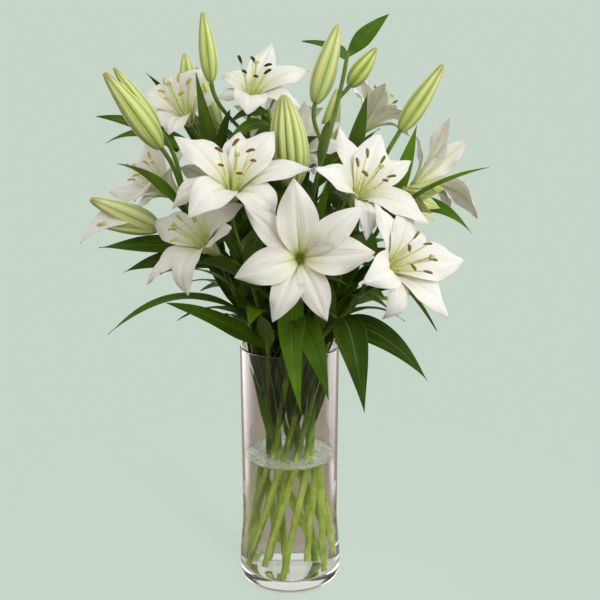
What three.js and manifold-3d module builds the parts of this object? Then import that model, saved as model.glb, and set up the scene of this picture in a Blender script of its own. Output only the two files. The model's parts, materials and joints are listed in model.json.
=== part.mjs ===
// Cut white lilies in a clear glass cylinder vase, half filled with water. Millimetres, +Z up. The origin
// is the middle of the vase's flat underside, and -Y is the front of the bouquet.
import * as THREE from "three";
import { mergeVertices } from "three/addons/utils/BufferGeometryUtils.js";
import Module from "manifold-3d";

const wasm = await Module();
wasm.setup();

// Driving dimensions
const CLEAR = 0.3;
const VASE = { height: 300, rim: 60, waist: 59, foot: 63.5, wall: 3.4, floor: 13, corner: 6, sides: 32 };
const FLARE = { low: 30, high: 72 };
const WATER = { level: 160 };
const BUNDLE = {
  outerSlots: 11,
  innerSlots: 3,
  outerReach: 45,
  innerReach: 24,
  outerTwist: 108,
  innerTwist: -112,
};
const STEM = { radius: 3.5, neck: 2.3, sides: 6, rings: 6, tie: 292 };
const PEDICEL = { radius: 1.9, end: 2.6, sides: 4, rings: 3 };
const TEPAL = {
  thick: 1.5,
  claw: 0.15,
  widest: 0.53,
  lean: 17,
  curledBack: -0.45,
  inner: 0.44,
  outer: 0.33,
};
const SEAT = { depth: 17, radius: 3, flare: 6.3, height: 5, sides: 6 };
const STAMEN = {
  count: 6,
  length: 58,
  radius: 0.9,
  anther: 9,
  antherRadius: 2.1,
  disc: 2.3,
  style: 64,
  stigma: 2.8,
};
const BUD = { sides: 12, rings: 4, ridge: 1.04, groove: 0.9 };
const LEAF = { thick: 1.4, fold: 0.22, base: 0.16, widest: 0.36 };

// Where a blade has its cross sections along its length. It starts as a point inside what it grows from.
const CLOSE_TEPAL_ROWS = [0, 0.13, 0.31, 0.53, 0.77, 1];
const TEPAL_ROWS = [0, 0.15, 0.38, 0.68, 1];
const LEAF_ROWS = [0, 0.08, 0.3, 0.55, 0.8, 1];
const COLLAR_ROWS = [0, 0.08, 0.36, 0.68, 1];

// Colours and finishes
const WHITE = { color: "#f3efe8", roughness: 0.55, metalness: 0 };
const GREENISH_WHITE = { color: "#dfe8b8", roughness: 0.5, metalness: 0 };
const BUD_GREEN = { color: "#b9cc78", roughness: 0.45, metalness: 0 };
const LEAF_GREEN = { color: "#2f5a1c", roughness: 0.4, metalness: 0 };
const POLLEN = { color: "#c9c768", roughness: 0.7, metalness: 0 };
const GLASS = { color: "#e9eff0", roughness: 0.03, metalness: 0, transparent: true, opacity: 0.3 };
const WATER_TINT = { color: "#dfe9e6", roughness: 0.02, metalness: 0, transparent: true, opacity: 0.35 };

// Stems: name, ring, slot in the ring, foot height, top, and the azimuth and elevation that the top points
// to. Azimuth 0 is the front, 90 the right and 180 the back.
const STEMS = [
  ["stem_front", "outer", 0, 13.3, [9, -84, 392], [0, 62]],
  ["stem_right_low", "outer", 1, 13.3, [76, -82, 372], [52, 50]],
  ["stem_right_mid", "outer", 2, 24, [74, -46, 446], [60, 66]],
  ["stem_right_far", "outer", 3, 13.3, [112, -22, 458], [80, 60]],
  ["stem_back_right", "outer", 4, 33, [72, 44, 506], [110, 75]],
  ["stem_back", "outer", 5, 13.3, [44, 72, 440], [150, 60]],
  ["stem_back_high", "outer", 6, 21, [-12, 66, 500], [180, 70]],
  ["stem_back_left", "outer", 7, 38, [-52, 66, 434], [-145, 60]],
  ["stem_left_high", "outer", 8, 13.3, [-92, 14, 530], [-80, 72]],
  ["stem_left", "outer", 9, 28, [-106, -32, 448], [-75, 55]],
  ["stem_left_low", "outer", 10, 13.3, [-52, -72, 428], [-30, 66]],
  ["stem_spray", "inner", 0, 13.3, [67, 15, 640], [150, 72]],
  ["stem_top", "inner", 2, 13.3, [-48, 12, 556], [-20, 80]],
  ["stem_middle", "inner", 1, 13.3, [-22, -30, 578], [-25, 78]],
];

// Blooms: name, stem, height at which the pedicel leaves it, throat, facing (azimuth, elevation), turn of
// the first tepal, tepal length, spread, curl, with stamens or not. Angles in degrees. One with a spread
// below OPEN is still a half-open bell.
const OPEN = 30;
const BLOOMS = [
  ["bloom_centre", "stem_front", 380, [13, -142, 431], [3, 14], 0, 94, 66, 40, 0],
  ["bloom_upper_left", "stem_left_low", 424, [-57, -112, 497], [12, 50], 80, 92, 62, 62, 1],
  ["bloom_lower_left", "stem_left_low", 396, [-86, -96, 436], [-46, 38], 95, 86, 56, 62, 1],
  ["bloom_lower_right", "stem_right_low", 366, [106, -120, 417], [46, 24], 100, 94, 62, 52, 1],
  ["bloom_mid_right", "stem_right_mid", 440, [75, -78, 486], [30, 46], 90, 92, 52, 52, 1],
  ["bloom_far_right", "stem_right_far", 452, [152, -20, 499], [120, 30], 60, 84, 44, 56, 0],
  ["bloom_right_back", "stem_back_right", 496, [94, 50, 562], [110, 52], 90, 78, 40, 30, 1],
  ["bloom_top", "stem_top", 548, [-43, 8, 592], [14, 54], 90, 84, 54, 44, 1],
  ["bloom_top_left", "stem_left_high", 520, [-118, 2, 572], [-22, 50], 80, 84, 52, 48, 1],
  ["bloom_left", "stem_left", 440, [-140, 8, 486], [-66, 40], 90, 86, 50, 44, 1],
  ["bloom_middle", "stem_middle", 450, [17, 38, 532], [10, 46], 90, 68, 46, 40, 0],
  ["bloom_half_right", "stem_right_far", 436, [140, -52, 486], [66, -12], 30, 48, 24, 10, 0],
  ["bloom_back_left", "stem_back_left", 428, [-84, 104, 474], [-148, 32], 90, 88, 60, 50, 1],
  ["bloom_back_right", "stem_back", 432, [74, 112, 478], [146, 30], 90, 88, 60, 50, 1],
  ["bloom_back_high", "stem_back_high", 492, [-14, 100, 540], [180, 44], 90, 86, 56, 50, 1],
];

// The blooms that face the viewer have more cross divisions in each tepal.
const CLOSE_UP = new Set([
  "bloom_centre",
  "bloom_upper_left",
  "bloom_lower_left",
  "bloom_lower_right",
  "bloom_mid_right",
  "bloom_top",
]);

// Hand-set tepals where the photograph shows each one: azimuth in the bloom, length, width, spread, curl
// and layer, counted outward from the inner one. Azimuth 0 is the bloom's right side, seen from in front of
// it, and 90 its upper side.
const TEPALS = {
  bloom_centre: [
    [96, 98, 43, 62, 16, 0],
    [38, 98, 32, 72, 30, 1],
    [2, 92, 42, 70, 30, 0],
    [-68, 86, 31, 84, 42, 1],
    [-114, 86, 31, 80, 44, 2],
    [-163, 88, 38, 74, 46, 0],
    [138, 92, 30, 72, 24, 1],
  ],
  bloom_upper_left: [
    [141, 96, 40, 60, 38, 0],
    [78, 90, 31, 68, 48, 1],
    [48, 94, 44, 58, 40, 0],
    [4, 100, 30, 68, 40, 2],
    [-52, 86, 40, 66, 95, 1],
    [-134, 94, 42, 66, 62, 0],
    [195, 92, 28, 84, 80, 1],
  ],
  bloom_lower_left: [
    [-72, 92, 40, 65, 88, 0],
    [-120, 94, 28, 68, 48, 1],
    [175, 94, 38, 62, 42, 0],
    [104, 90, 29, 64, 50, 1],
    [40, 88, 38, 56, 60, 0],
    [6, 90, 28, 62, 14, 1],
  ],
  bloom_lower_right: [
    [-12, 100, 44, 58, 22, 0],
    [24, 84, 31, 66, 60, 1],
    [66, 84, 40, 58, 50, 0],
    [106, 86, 31, 62, 42, 1],
    [190, 92, 40, 62, 60, 0],
    [-118, 86, 29, 76, 100, 1],
    [-62, 96, 40, 64, 38, 2],
  ],
  bloom_mid_right: [
    [56, 94, 42, 58, 30, 0],
    [20, 94, 32, 64, 38, 1],
    [-52, 100, 40, 68, 38, 0],
    [-110, 86, 27, 70, 62, 1],
    [172, 90, 38, 56, 24, 0],
    [98, 90, 30, 60, 16, 1],
  ],
  bloom_far_right: [
    [-120, 96, 42, 62, 50, 0],
    [95, 90, 34, 30, 4, 0],
    [145, 80, 27, 22, 6, 1],
    [35, 84, 27, 44, 16, 1],
    [-30, 84, 34, 48, 20, 0],
    [-75, 80, 27, 56, 24, 1],
  ],
  bloom_top: [
    [62, 84, 31, 60, 12, 1],
    [12, 90, 40, 60, 44, 0],
    [128, 64, 34, 62, 80, 0],
    [-46, 84, 29, 62, 50, 1],
    [-105, 84, 38, 60, 50, 0],
    [186, 50, 24, 66, 62, 1],
  ],
  bloom_top_left: [
    [84, 92, 40, 62, 92, 0],
    [122, 92, 29, 66, 92, 1],
    [162, 90, 38, 66, 88, 2],
    [222, 72, 28, 64, 60, 1],
    [-84, 66, 34, 58, 50, 0],
    [36, 58, 26, 64, 60, 1],
  ],
  bloom_left: [
    [148, 104, 44, 58, 14, 0],
    [180, 104, 32, 62, 18, 1],
    [214, 96, 42, 62, 8, 2],
    [-90, 78, 30, 66, 40, 1],
    [-30, 96, 46, 54, 32, 0],
    [40, 88, 38, 60, 32, 1],
  ],
};

// Buds: name, stem, height at which the pedicel leaves it, base, tip, greatest radius and taper.
const BUDS = [
  ["bud_tall", "stem_top", 530, [-86, -18, 607], [-94, -16, 681], 11, 0.3],
  ["bud_behind", "stem_left_high", 510, [-120, 50, 600], [-124, 54, 642], 10, 0.28],
  ["bud_left", "stem_left", 446, [-135, -72, 537], [-190, -82, 614], 15, 0.44],
  ["bud_ribbed", "stem_middle", 440, [6, -60, 494], [-5, -72, 592], 20, 0.02],
  ["bud_spray", "stem_spray", 520, [30, 10, 584], [56, 18, 671], 15, 0.3],
  ["bud_small", "stem_spray", 585, [69, 12, 603], [99, 10, 645], 12, 0.3],
  ["bud_right", "stem_right_mid", 430, [124, -30, 554], [169, -30, 625], 13, 0.38],
  ["bud_second", "stem_left", 440, [-140, -50, 556], [-184, -62, 620], 9, 0.3],
  ["bud_opening", "stem_left", 426, [-144, -51, 449], [-215, -68, 482], 15, 0.4],
  ["bud_back_left", "stem_back_left", 422, [-88, 84, 548], [-116, 100, 628], 13, 0.3],
  ["bud_back_right", "stem_back_high", 486, [44, 96, 528], [60, 116, 602], 13, 0.3],
];

// More of the opening bud: its lower lobe (base, tip, greatest radius and taper) and the tepal that has come
// loose (start inside the bud, tip, rise, sideways bow, width and roll).
const OPENING_LOBE = [[-144, -53, 447], [-208, -70, 455], 9, 0.3];
const LOOSE_TEPAL = [[-160, -58, 461], [-228, -72, 434], 30, 0, 30, -50];

// Leaves that the photograph shows: stem, height on it, tip, rise of the bow above the chord, sideways bow,
// width and roll about the rib.
const LEAVES = [
  ["stem_spray", 636, [115, 32, 684], 8, 6, 20, 60],
  ["stem_spray", 632, [15, 38, 655], 10, 46, 15, -50],
  ["stem_left_high", 516, [-101, -32, 617], -8, 0, 20, 0],
  ["stem_left_high", 504, [-217, -14, 570], 28, 22, 27, -50],
  ["stem_left_high", 500, [-169, 40, 620], 0, 60, 24, -60],
  ["stem_middle", 572, [-64, -40, 563], 16, 0, 15, -50],
  ["stem_middle", 560, [-70, -78, 532], 26, 0, 15, -40],
  ["stem_left_high", 500, [-206, -22, 540], 56, 14, 21, -50],
  ["stem_left", 446, [-178, -96, 522], 30, 0, 18, -50],
  ["stem_left", 422, [-210, -62, 428], 8, 0, 27, -45],
  ["stem_left", 400, [-182, -72, 402], 24, 0, 26, -45],
  ["stem_left", 345, [-202, -76, 332], 62, 0, 14, -30],
  ["stem_left_low", 306, [-134, -86, 371], 14, 0, 24, -50],
  ["stem_left_low", 396, [-90, -124, 424], 16, 0, 20, -30],
  ["stem_front", 372, [14, -140, 262], 42, 16, 29, 0],
  ["stem_front", 350, [44, -114, 268], 36, 0, 31, 28],
  ["stem_front", 386, [46, -96, 516], -8, 0, 19, 80],
  ["stem_right_low", 350, [82, -130, 259], 48, 0, 37, 22],
  ["stem_right_low", 336, [153, -100, 286], 44, 0, 34, 45],
  ["stem_right_mid", 350, [143, -62, 385], 20, 0, 15, 45],
  ["stem_right_mid", 436, [97, -102, 418], 28, 0, 23, 20],
  ["stem_right_far", 400, [168, -60, 332], 44, 0, 11, 40],
  ["stem_right_far", 454, [146, -6, 561], 0, 8, 20, 70],
  ["stem_right_far", 450, [208, -34, 440], 54, 0, 20, 60],
  ["stem_right_far", 430, [212, -90, 518], 30, 50, 9, 50],
  ["stem_back_right", 500, [91, 18, 596], 0, 0, 20, -55],
  ["stem_back_right", 504, [104, -4, 556], 18, 0, 15, 20],
  ["stem_front", 176, [-46, -27, 280], 0, -16, 12, -60],
  ["stem_left_low", 225, [-44, -40, 325], 0, -8, 17, -60],
  ["stem_right_low", 215, [40, -40, 322], 0, 8, 17, 60],
];

// Leaves that fill the collar above the rim: on each outer stem, a few of them fan out from it as they go
// up. Those named in COLLAR_GAPS (slot and leaf) are left out, because they would cut through a flower or
// another stem, or stand at the back where others already hide them.
const COLLAR = {
  leaves: 3,
  lowest: 304,
  step: 36,
  length: 88,
  width: 24,
  bow: 26,
  fan: 24,
  drop: [-6, 4, 30],
};
const COLLAR_GAPS = new Set([
  "0-0", "1-0", "2-0", "3-0", "5-0", "5-1", "6-1", "6-2", "7-2", "8-0", "9-0", "10-0",
]);

// Helpers
const vector = (p) => new THREE.Vector3(...p);
const rad = THREE.MathUtils.degToRad;
const mix = THREE.MathUtils.lerp;
const smooth = (x, low, high) => THREE.MathUtils.smoothstep(x, low, high);
const along = (start, direction, distance) => start.clone().addScaledVector(direction, distance);
const Z = new THREE.Vector3(0, 0, 1);

// A direction from its azimuth and elevation.
function heading([azimuth, elevation]) {
  const level = Math.cos(rad(elevation));
  return new THREE.Vector3(
    Math.sin(rad(azimuth)) * level,
    -Math.cos(rad(azimuth)) * level,
    Math.sin(rad(elevation)),
  );
}

// Repeatable draws between 0 and 1.
function draws(seed) {
  let state = (seed * 48271) % 2147483647;
  return () => {
    state = (state * 16807) % 2147483647;
    return state / 2147483647;
  };
}

// A closed solid from a triangle list, with the triangles that have collapsed to a line dropped.
function solid(geometry) {
  const plain = new THREE.BufferGeometry().setAttribute("position", geometry.getAttribute("position"));
  if (geometry.index) plain.setIndex(geometry.index);
  const merged = mergeVertices(plain, 1e-3);
  const index = merged.index.array;
  const kept = [];
  for (let i = 0; i < index.length; i += 3) {
    const [a, b, c] = [index[i], index[i + 1], index[i + 2]];
    if (a !== b && b !== c && c !== a) kept.push(a, b, c);
  }
  return new wasm.Manifold(
    new wasm.Mesh({
      numProp: 3,
      vertProperties: merged.getAttribute("position").array,
      triVerts: new Uint32Array(kept),
    }),
  );
}

function geometryOf(manifold) {
  const mesh = manifold.getMesh();
  const positions = new Float32Array(mesh.numVert * 3);
  for (let i = 0; i < mesh.numVert; i++) {
    positions.set(mesh.vertProperties.subarray(i * mesh.numProp, i * mesh.numProp + 3), i * 3);
  }
  return new THREE.BufferGeometry()
    .setAttribute("position", new THREE.BufferAttribute(positions, 3))
    .setIndex(new THREE.BufferAttribute(mesh.triVerts, 1))
    .toNonIndexed();
}

const union = (solids) => solids.reduce((whole, next) => whole.add(next));

function triangles(points) {
  const flat = points.flatMap((p) => [p.x, p.y, p.z]);
  const geometry = new THREE.BufferGeometry();
  return geometry.setAttribute("position", new THREE.Float32BufferAttribute(flat, 3));
}

// A closed body through sections of equal count, each turning anticlockwise seen from the last one.
function loft(sections) {
  const faces = [];
  const count = sections[0].length;
  for (let i = 0; i + 1 < sections.length; i++) {
    const [low, high] = [sections[i], sections[i + 1]];
    for (let j = 0; j < count; j++) {
      const k = (j + 1) % count;
      faces.push(low[j], low[k], high[k]);
      faces.push(low[j], high[k], high[j]);
    }
  }
  const [first, last] = [sections[0], sections[sections.length - 1]];
  for (let j = 1; j + 1 < count; j++) {
    faces.push(first[0], first[j + 1], first[j]);
    faces.push(last[0], last[j], last[j + 1]);
  }
  return triangles(faces);
}

// Rings square to a curve, which make a round rod of changing radius.
function rings(curve, steps, radiusAt, sides) {
  const list = [];
  let side = new THREE.Vector3(1, 0, 0);
  for (let i = 0; i <= steps; i++) {
    const point = curve.getPoint(i / steps);
    const direction = curve.getTangent(i / steps);
    side = side.clone().addScaledVector(direction, -side.dot(direction)).normalize();
    const other = direction.clone().cross(side);
    const radius = radiusAt(i / steps);
    const ring = [];
    for (let k = 0; k < sides; k++) {
      const turn = (2 * Math.PI * k) / sides;
      ring.push(along(along(point, side, Math.cos(turn) * radius), other, Math.sin(turn) * radius));
    }
    list.push(ring);
  }
  return list;
}

const rod = (curve, steps, radiusAt, sides) => solid(loft(rings(curve, steps, radiusAt, sides)));

// A thin blade: surface(t, s) gives a point and the upper side's normal at length t from 0 to 1 and width s
// from -1 to 1. It starts and ends as a point, closes to an edge at its sides, and both faces are split
// alike.
function blade(surface, rows, divisions, thickness) {
  const last = rows.length - 1;
  const upper = [];
  const lower = [];
  rows.forEach((t, i) => {
    upper.push([]);
    lower.push([]);
    const ends = i === 0 || i === last;
    for (let j = 0; j <= divisions; j++) {
      const s = ends ? 0 : -1 + (2 * j) / divisions;
      const { point, normal } = surface(t, s);
      const half = ends ? 0 : thickness * (1 - s * s) * (0.75 - 0.45 * t);
      upper[i].push(along(point, normal, half));
      lower[i].push(along(point, normal, -half));
    }
  });
  const faces = [];
  for (let i = 0; i < last; i++) {
    for (let j = 0; j < divisions; j++) {
      faces.push(upper[i][j], upper[i + 1][j], upper[i][j + 1]);
      faces.push(upper[i + 1][j], upper[i + 1][j + 1], upper[i][j + 1]);
      faces.push(lower[i][j], lower[i][j + 1], lower[i + 1][j]);
      faces.push(lower[i + 1][j], lower[i][j + 1], lower[i + 1][j + 1]);
    }
  }
  return triangles(faces);
}

// Meshes
const bouquet = new THREE.Group();

function addMesh(name, geometry, finish) {
  const mesh = new THREE.Mesh(geometry, new THREE.MeshStandardMaterial(finish));
  mesh.name = name;
  bouquet.add(mesh);
  return mesh;
}

// Vase: a heavy floor, thin walls that widen a little at the foot, and rounded edges, turned about +Z.
function vaseProfile() {
  const { height, rim, waist, foot, wall, floor, corner } = VASE;
  const edge = wall / 2;
  const outer = [
    [0, 0],
    [foot - corner, 0],
    [foot - 0.29 * corner, 0.29 * corner],
    [foot, corner],
    [foot, FLARE.low],
    [waist, FLARE.high],
    [rim, height - edge * 0.6],
    [rim - edge, height],
  ];
  const inner = [
    [rim - wall, height - edge * 0.6],
    [waist - wall, FLARE.high],
    [waist - wall, floor + corner],
    [waist - wall - corner * 0.8, floor],
    [0, floor],
  ];
  return { outer, inner };
}

function vase() {
  const { outer, inner } = vaseProfile();
  const points = [...outer, ...inner].map(([r, z]) => new THREE.Vector2(r, z));
  return new THREE.LatheGeometry(points, VASE.sides).rotateX(Math.PI / 2);
}

// Stems: straight generators of a waisted bundle in the vase, then a curve to the top.
function stemPath([, ring, slot, footHeight, top, pointing]) {
  const outer = ring === "outer";
  const reach = outer ? BUNDLE.outerReach : BUNDLE.innerReach;
  const twist = rad(outer ? BUNDLE.outerTwist : BUNDLE.innerTwist);
  const angle = -Math.PI / 2 + (2 * Math.PI * slot) / (outer ? BUNDLE.outerSlots : BUNDLE.innerSlots);
  const tie = new THREE.Vector3(Math.cos(angle) * reach, Math.sin(angle) * reach, STEM.tie);
  const turned = angle - twist;
  const lowest = new THREE.Vector3(Math.cos(turned) * reach, Math.sin(turned) * reach, VASE.floor);
  const direction = tie.clone().sub(lowest).normalize();
  const underside = STEM.radius * Math.sqrt(1 - direction.z * direction.z);
  const foot = along(lowest, direction, (footHeight + underside - VASE.floor) / direction.z);
  const end = vector(top);
  const third = end.distanceTo(tie) / 3;
  const curve = new THREE.CubicBezierCurve3(
    tie,
    along(tie, direction, third),
    along(end, heading(pointing), -third),
    end,
  );
  const joints = [foot, ...curve.getPoints(STEM.rings)];
  return { foot, tie, direction, curve, joints };
}

// The middle of a stem's solid at a height, and its direction there.
function placeOn({ joints }, height) {
  const above = Math.min(joints.length - 1, Math.max(1, joints.findIndex((joint) => joint.z > height)));
  const [low, high] = [joints[above - 1], joints[above]];
  const point = low.clone().lerp(high, (height - low.z) / (high.z - low.z));
  return { point, direction: high.clone().sub(low).normalize() };
}

function stemSolid({ foot, tie, curve }) {
  const radiusAt = (t) => mix(STEM.radius, STEM.neck, smooth(t, 0.2, 1));
  const straight = rings(new THREE.LineCurve3(foot, tie), 1, () => STEM.radius, STEM.sides);
  return solid(loft([straight[0], ...rings(curve, STEM.rings, radiusAt, STEM.sides)]));
}

function pedicelSolid(path, from, seat, axis) {
  const { point: start, direction: leaving } = placeOn(path, from);
  const end = along(seat, axis, -CLEAR);
  const length = start.distanceTo(end);
  const curve = new THREE.CubicBezierCurve3(
    start,
    along(start, leaving, length * 0.35),
    along(end, axis, -length * 0.4),
    end,
  );
  return rod(curve, PEDICEL.rings, (t) => mix(PEDICEL.radius, PEDICEL.end, t), PEDICEL.sides);
}

// Leaves: a lance-shaped blade folded along its rib, bowed from its stem to its tip.
function leafSurface(base, tip, rise, sway, width, roll) {
  const chord = tip.clone().sub(base);
  const outward = chord.clone().setZ(0).normalize();
  const sideways = outward.clone().cross(Z);
  const middle = base.clone().add(tip).multiplyScalar(0.5);
  const bow = middle.addScaledVector(Z, rise).addScaledVector(sideways, sway);
  const spine = new THREE.QuadraticBezierCurve3(base, bow, tip);
  return (t, s) => {
    const direction = spine.getTangent(t);
    const up = outward.clone().multiplyScalar(-direction.z).addScaledVector(Z, direction.dot(outward));
    up.addScaledVector(direction, -up.dot(direction)).normalize();
    up.applyAxisAngle(direction, rad(roll));
    const side = up.clone().cross(direction);
    const half = (width / 2) * leafWidth(t);
    const point = along(spine.getPoint(t), side, s * half);
    point.addScaledVector(up, LEAF.fold * Math.abs(s) * half);
    return { point, normal: up };
  };
}

function leafWidth(t) {
  if (t < LEAF.widest) return mix(LEAF.base, 1, Math.sin((Math.PI / 2) * (t / LEAF.widest)));
  const beyond = (t - LEAF.widest) / (1 - LEAF.widest);
  return Math.pow(1 - Math.pow(beyond, 1.7), 1.15);
}

// One leaf of the collar, in the same form as those in LEAVES.
function collarLeaf(name, slot, i) {
  const top = paths.get(name).curve.v3.z;
  const height = Math.min(top - 10, COLLAR.lowest + COLLAR.step * i + 9 * (slot % 3));
  const { point } = placeOn(paths.get(name), height);
  const turn = Math.atan2(point.y, point.x) + rad(COLLAR.fan * (((slot + i) % 3) - 1));
  const length = COLLAR.length * (0.74 + 0.12 * i) * (1 + 0.1 * ((slot * 2 + i) % 3));
  const { x, y, z } = point;
  const tip = [x + Math.cos(turn) * length, y + Math.sin(turn) * length, z + COLLAR.drop[i]];
  const roll = 20 * (((slot + 2 * i) % 3) - 1);
  return [name, height, tip, COLLAR.bow, 0, COLLAR.width - 2 * i, roll];
}

function leafSolid(path, [, height, tip, rise, sway, width, roll], rows) {
  const base = placeOn(path, height).point;
  return solid(blade(leafSurface(base, vector(tip), rise, sway, width, roll), rows, 2, LEAF.thick));
}

// Tepals, in the bloom's own frame: the seat is the origin, +Z is the way the bloom faces and +Y is its
// upper side.
function tepalWidth(t) {
  const { claw, widest } = TEPAL;
  if (t < widest) return mix(claw, 1, Math.pow(Math.sin((Math.PI / 2) * (t / widest)), 2));
  const beyond = (t - widest) / (1 - widest);
  return 1 - Math.pow(beyond, 1.9);
}

// The rib leaves the seat along the trumpet, bends outward by the spread and rolls back by the curl. Near
// the throat the blade is curved across as a trumpet round the bloom's axis, and its edges roll back
// towards the tip.
function tepalSurface([azimuth, length, width, spread, curl, layer], wave) {
  const radial = new THREE.Vector3(Math.cos(rad(azimuth)), Math.sin(rad(azimuth)), 0);
  const across = Z.clone().cross(radial);
  const steps = 60;
  const angleAt = (t) => {
    return rad(TEPAL.lean + (spread - TEPAL.lean) * smooth(t, 0.08, 0.55) + curl * smooth(t, 0.45, 1));
  };
  const line = [{ out: 2.6 + 1.5 * layer, up: 1.4 - 0.7 * layer }];
  for (let i = 0; i < steps; i++) {
    const angle = angleAt((i + 0.5) / steps);
    const { out, up } = line[i];
    const stride = length / steps;
    line.push({ out: out + Math.sin(angle) * stride, up: up + Math.cos(angle) * stride });
  }
  return (t, s) => {
    const low = Math.min(Math.floor(t * steps), steps - 1);
    const share = t * steps - low;
    const out = mix(line[low].out, line[low + 1].out, share);
    const up = mix(line[low].up, line[low + 1].up, share);
    const angle = angleAt(t);
    const half = (width / 2) * tepalWidth(t);
    const trumpet = Math.max(0, (half * Math.cos(angle)) / out) * (1 - smooth(t, 0.5, 0.8));
    const bend = trumpet + TEPAL.curledBack * smooth(t, 0.45, 1) + 1e-3;
    const ruffle = wave.size * Math.sin(wave.pace * t + wave.start + s) * Math.pow(Math.abs(s), 2.5);
    const wavy = ruffle * smooth(t, 0.35, 0.6) * (1 - smooth(t, 0.85, 1));
    const lift = ((1 - Math.cos(bend * s)) / bend) * half + wavy;
    const rib = Math.exp(-Math.pow(s / 0.16, 2)) * 1.2 * (1 - t) * smooth(t, 0.05, 0.25);
    const facing = radial.clone().multiplyScalar(-Math.cos(angle)).addScaledVector(Z, Math.sin(angle));
    const point = along(new THREE.Vector3(0, 0, up), radial, out);
    point.addScaledVector(across, (Math.sin(bend * s) / bend) * half).addScaledVector(facing, lift - rib);
    const normal = facing.multiplyScalar(Math.cos(bend * s)).addScaledVector(across, -Math.sin(bend * s));
    return { point, normal };
  };
}

// The tepals of one bloom: hand-set ones, or six in two layers with small seeded differences. The lower
// ones of a bloom that faces sideways hang a little further open.
function tepalsOf([name, , , , facing, turn, length, spread, curl], draw) {
  if (TEPALS[name]) return TEPALS[name];
  const opened = spread > OPEN ? 1 : 0;
  return [0, 1, 2, 3, 4, 5].map((i) => {
    const layer = i % 2;
    const azimuth = turn + 60 * i + (draw() - 0.5) * 10;
    const hang = -Math.sin(rad(azimuth)) * Math.cos(rad(facing[1]));
    const open = spread + opened * (7 * hang + 7 * layer + 3 * draw());
    const roll = curl + opened * (14 * hang + 14 * draw());
    const width = length * (layer ? TEPAL.outer : TEPAL.inner);
    return [azimuth, length * (0.97 + 0.06 * draw()), width, open, roll, layer];
  });
}

function bloomSolid(bloom, seed) {
  const draw = draws(seed);
  const { radius, flare, height, sides } = SEAT;
  const cup = [[0, 0], [radius, 0], [flare, height], [0, height]];
  const outline = cup.map(([r, z]) => new THREE.Vector2(r, z));
  const seat = new THREE.LatheGeometry(outline, sides).rotateX(Math.PI / 2);
  const [rows, divisions] = CLOSE_UP.has(bloom[0]) ? [CLOSE_TEPAL_ROWS, 4] : [TEPAL_ROWS, 2];
  const opened = bloom[7] > OPEN ? 1 : 0;
  const tepals = tepalsOf(bloom, draw).map((tepal) => {
    const wave = { size: opened * (1.4 + draw()), pace: 13 + 4 * draw(), start: 6 * draw() };
    return solid(blade(tepalSurface(tepal, wave), rows, divisions, TEPAL.thick));
  });
  return union([solid(seat), ...tepals]);
}

// Stamens and pistil, in the bloom's own frame, standing on the seat. Each is a slim rod with a thicker
// end.
function stamenSolid(azimuth, away, length, lean, thickness, head, headRadius, nod) {
  const radial = new THREE.Vector3(Math.cos(azimuth), Math.sin(azimuth), 0);
  const side = new THREE.Vector3(-Math.sin(azimuth), Math.cos(azimuth), 0);
  const rise = radial.clone().multiplyScalar(Math.sin(rad(lean))).addScaledVector(Z, Math.cos(rad(lean)));
  const start = new THREE.Vector3(0, 0, SEAT.height + CLEAR + 0.8).addScaledVector(radial, away);
  const neck = along(start, rise, length);
  const direction = along(rise, side, nod).normalize();
  const places = [start, neck, along(neck, direction, head * 0.45), along(neck, direction, head)];
  const widths = [thickness * 0.8, thickness, headRadius, 0];
  const sections = places.map((place, i) => {
    return [0, 1, 2].map((k) => {
      const turn = (2 * Math.PI * k) / 3;
      return along(along(place, radial, Math.cos(turn) * widths[i]), side, Math.sin(turn) * widths[i]);
    });
  });
  return solid(loft(sections));
}

function stamensSolid(length, seed) {
  const draw = draws(seed + 90);
  const { count, radius, anther, antherRadius, disc, style, stigma } = STAMEN;
  const scale = length / 92;
  const base = new THREE.CylinderGeometry(disc * 0.8, disc, 2, 5).rotateX(Math.PI / 2);
  const pieces = [solid(base.translate(0, 0, SEAT.height + CLEAR + 1))];
  for (let i = 0; i < count; i++) {
    const azimuth = (2 * Math.PI * (i + 0.5)) / count + (draw() - 0.5) * 0.3;
    const size = STAMEN.length * scale * (0.94 + 0.1 * draw());
    const lean = 15 + 5 * draw();
    pieces.push(stamenSolid(azimuth, 1.4, size, lean, radius, anther, antherRadius, 1.6 * (draw() - 0.5)));
  }
  pieces.push(stamenSolid(-Math.PI / 2, 0, style * scale, 5, 0.9, 4, stigma, 0));
  return union(pieces);
}

// Buds: six ribs and six grooves, widest below the middle, from a base to a tip.
function budSolid(base, tip, radius, taper) {
  const length = tip.distanceTo(base);
  const axis = tip.clone().sub(base).normalize();
  const side = new THREE.Vector3(0, 1, 0).cross(axis).normalize();
  const other = axis.clone().cross(side);
  const sections = [];
  for (let i = 0; i <= BUD.rings; i++) {
    const t = i / BUD.rings;
    const full = radius * budWidth(t, taper);
    const ring = [];
    for (let k = 0; k < BUD.sides; k++) {
      const turn = (2 * Math.PI * k) / BUD.sides;
      const reach = full * (k % 2 ? BUD.groove : BUD.ridge);
      const middle = along(base, axis, t * length);
      ring.push(along(along(middle, side, Math.cos(turn) * reach), other, Math.sin(turn) * reach));
    }
    sections.push(ring);
  }
  return solid(loft(sections));
}

function budWidth(t, taper) {
  return 0.16 + 0.84 * Math.pow(Math.sin(Math.PI * Math.pow(t, 0.82)), 0.72) * (1 - taper * t);
}

// Assembly
const paths = new Map(STEMS.map((stem) => [stem[0], stemPath(stem)]));
const greens = new Map(STEMS.map(([name]) => [name, [stemSolid(paths.get(name))]]));

addMesh("vase", vase(), GLASS);

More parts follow.
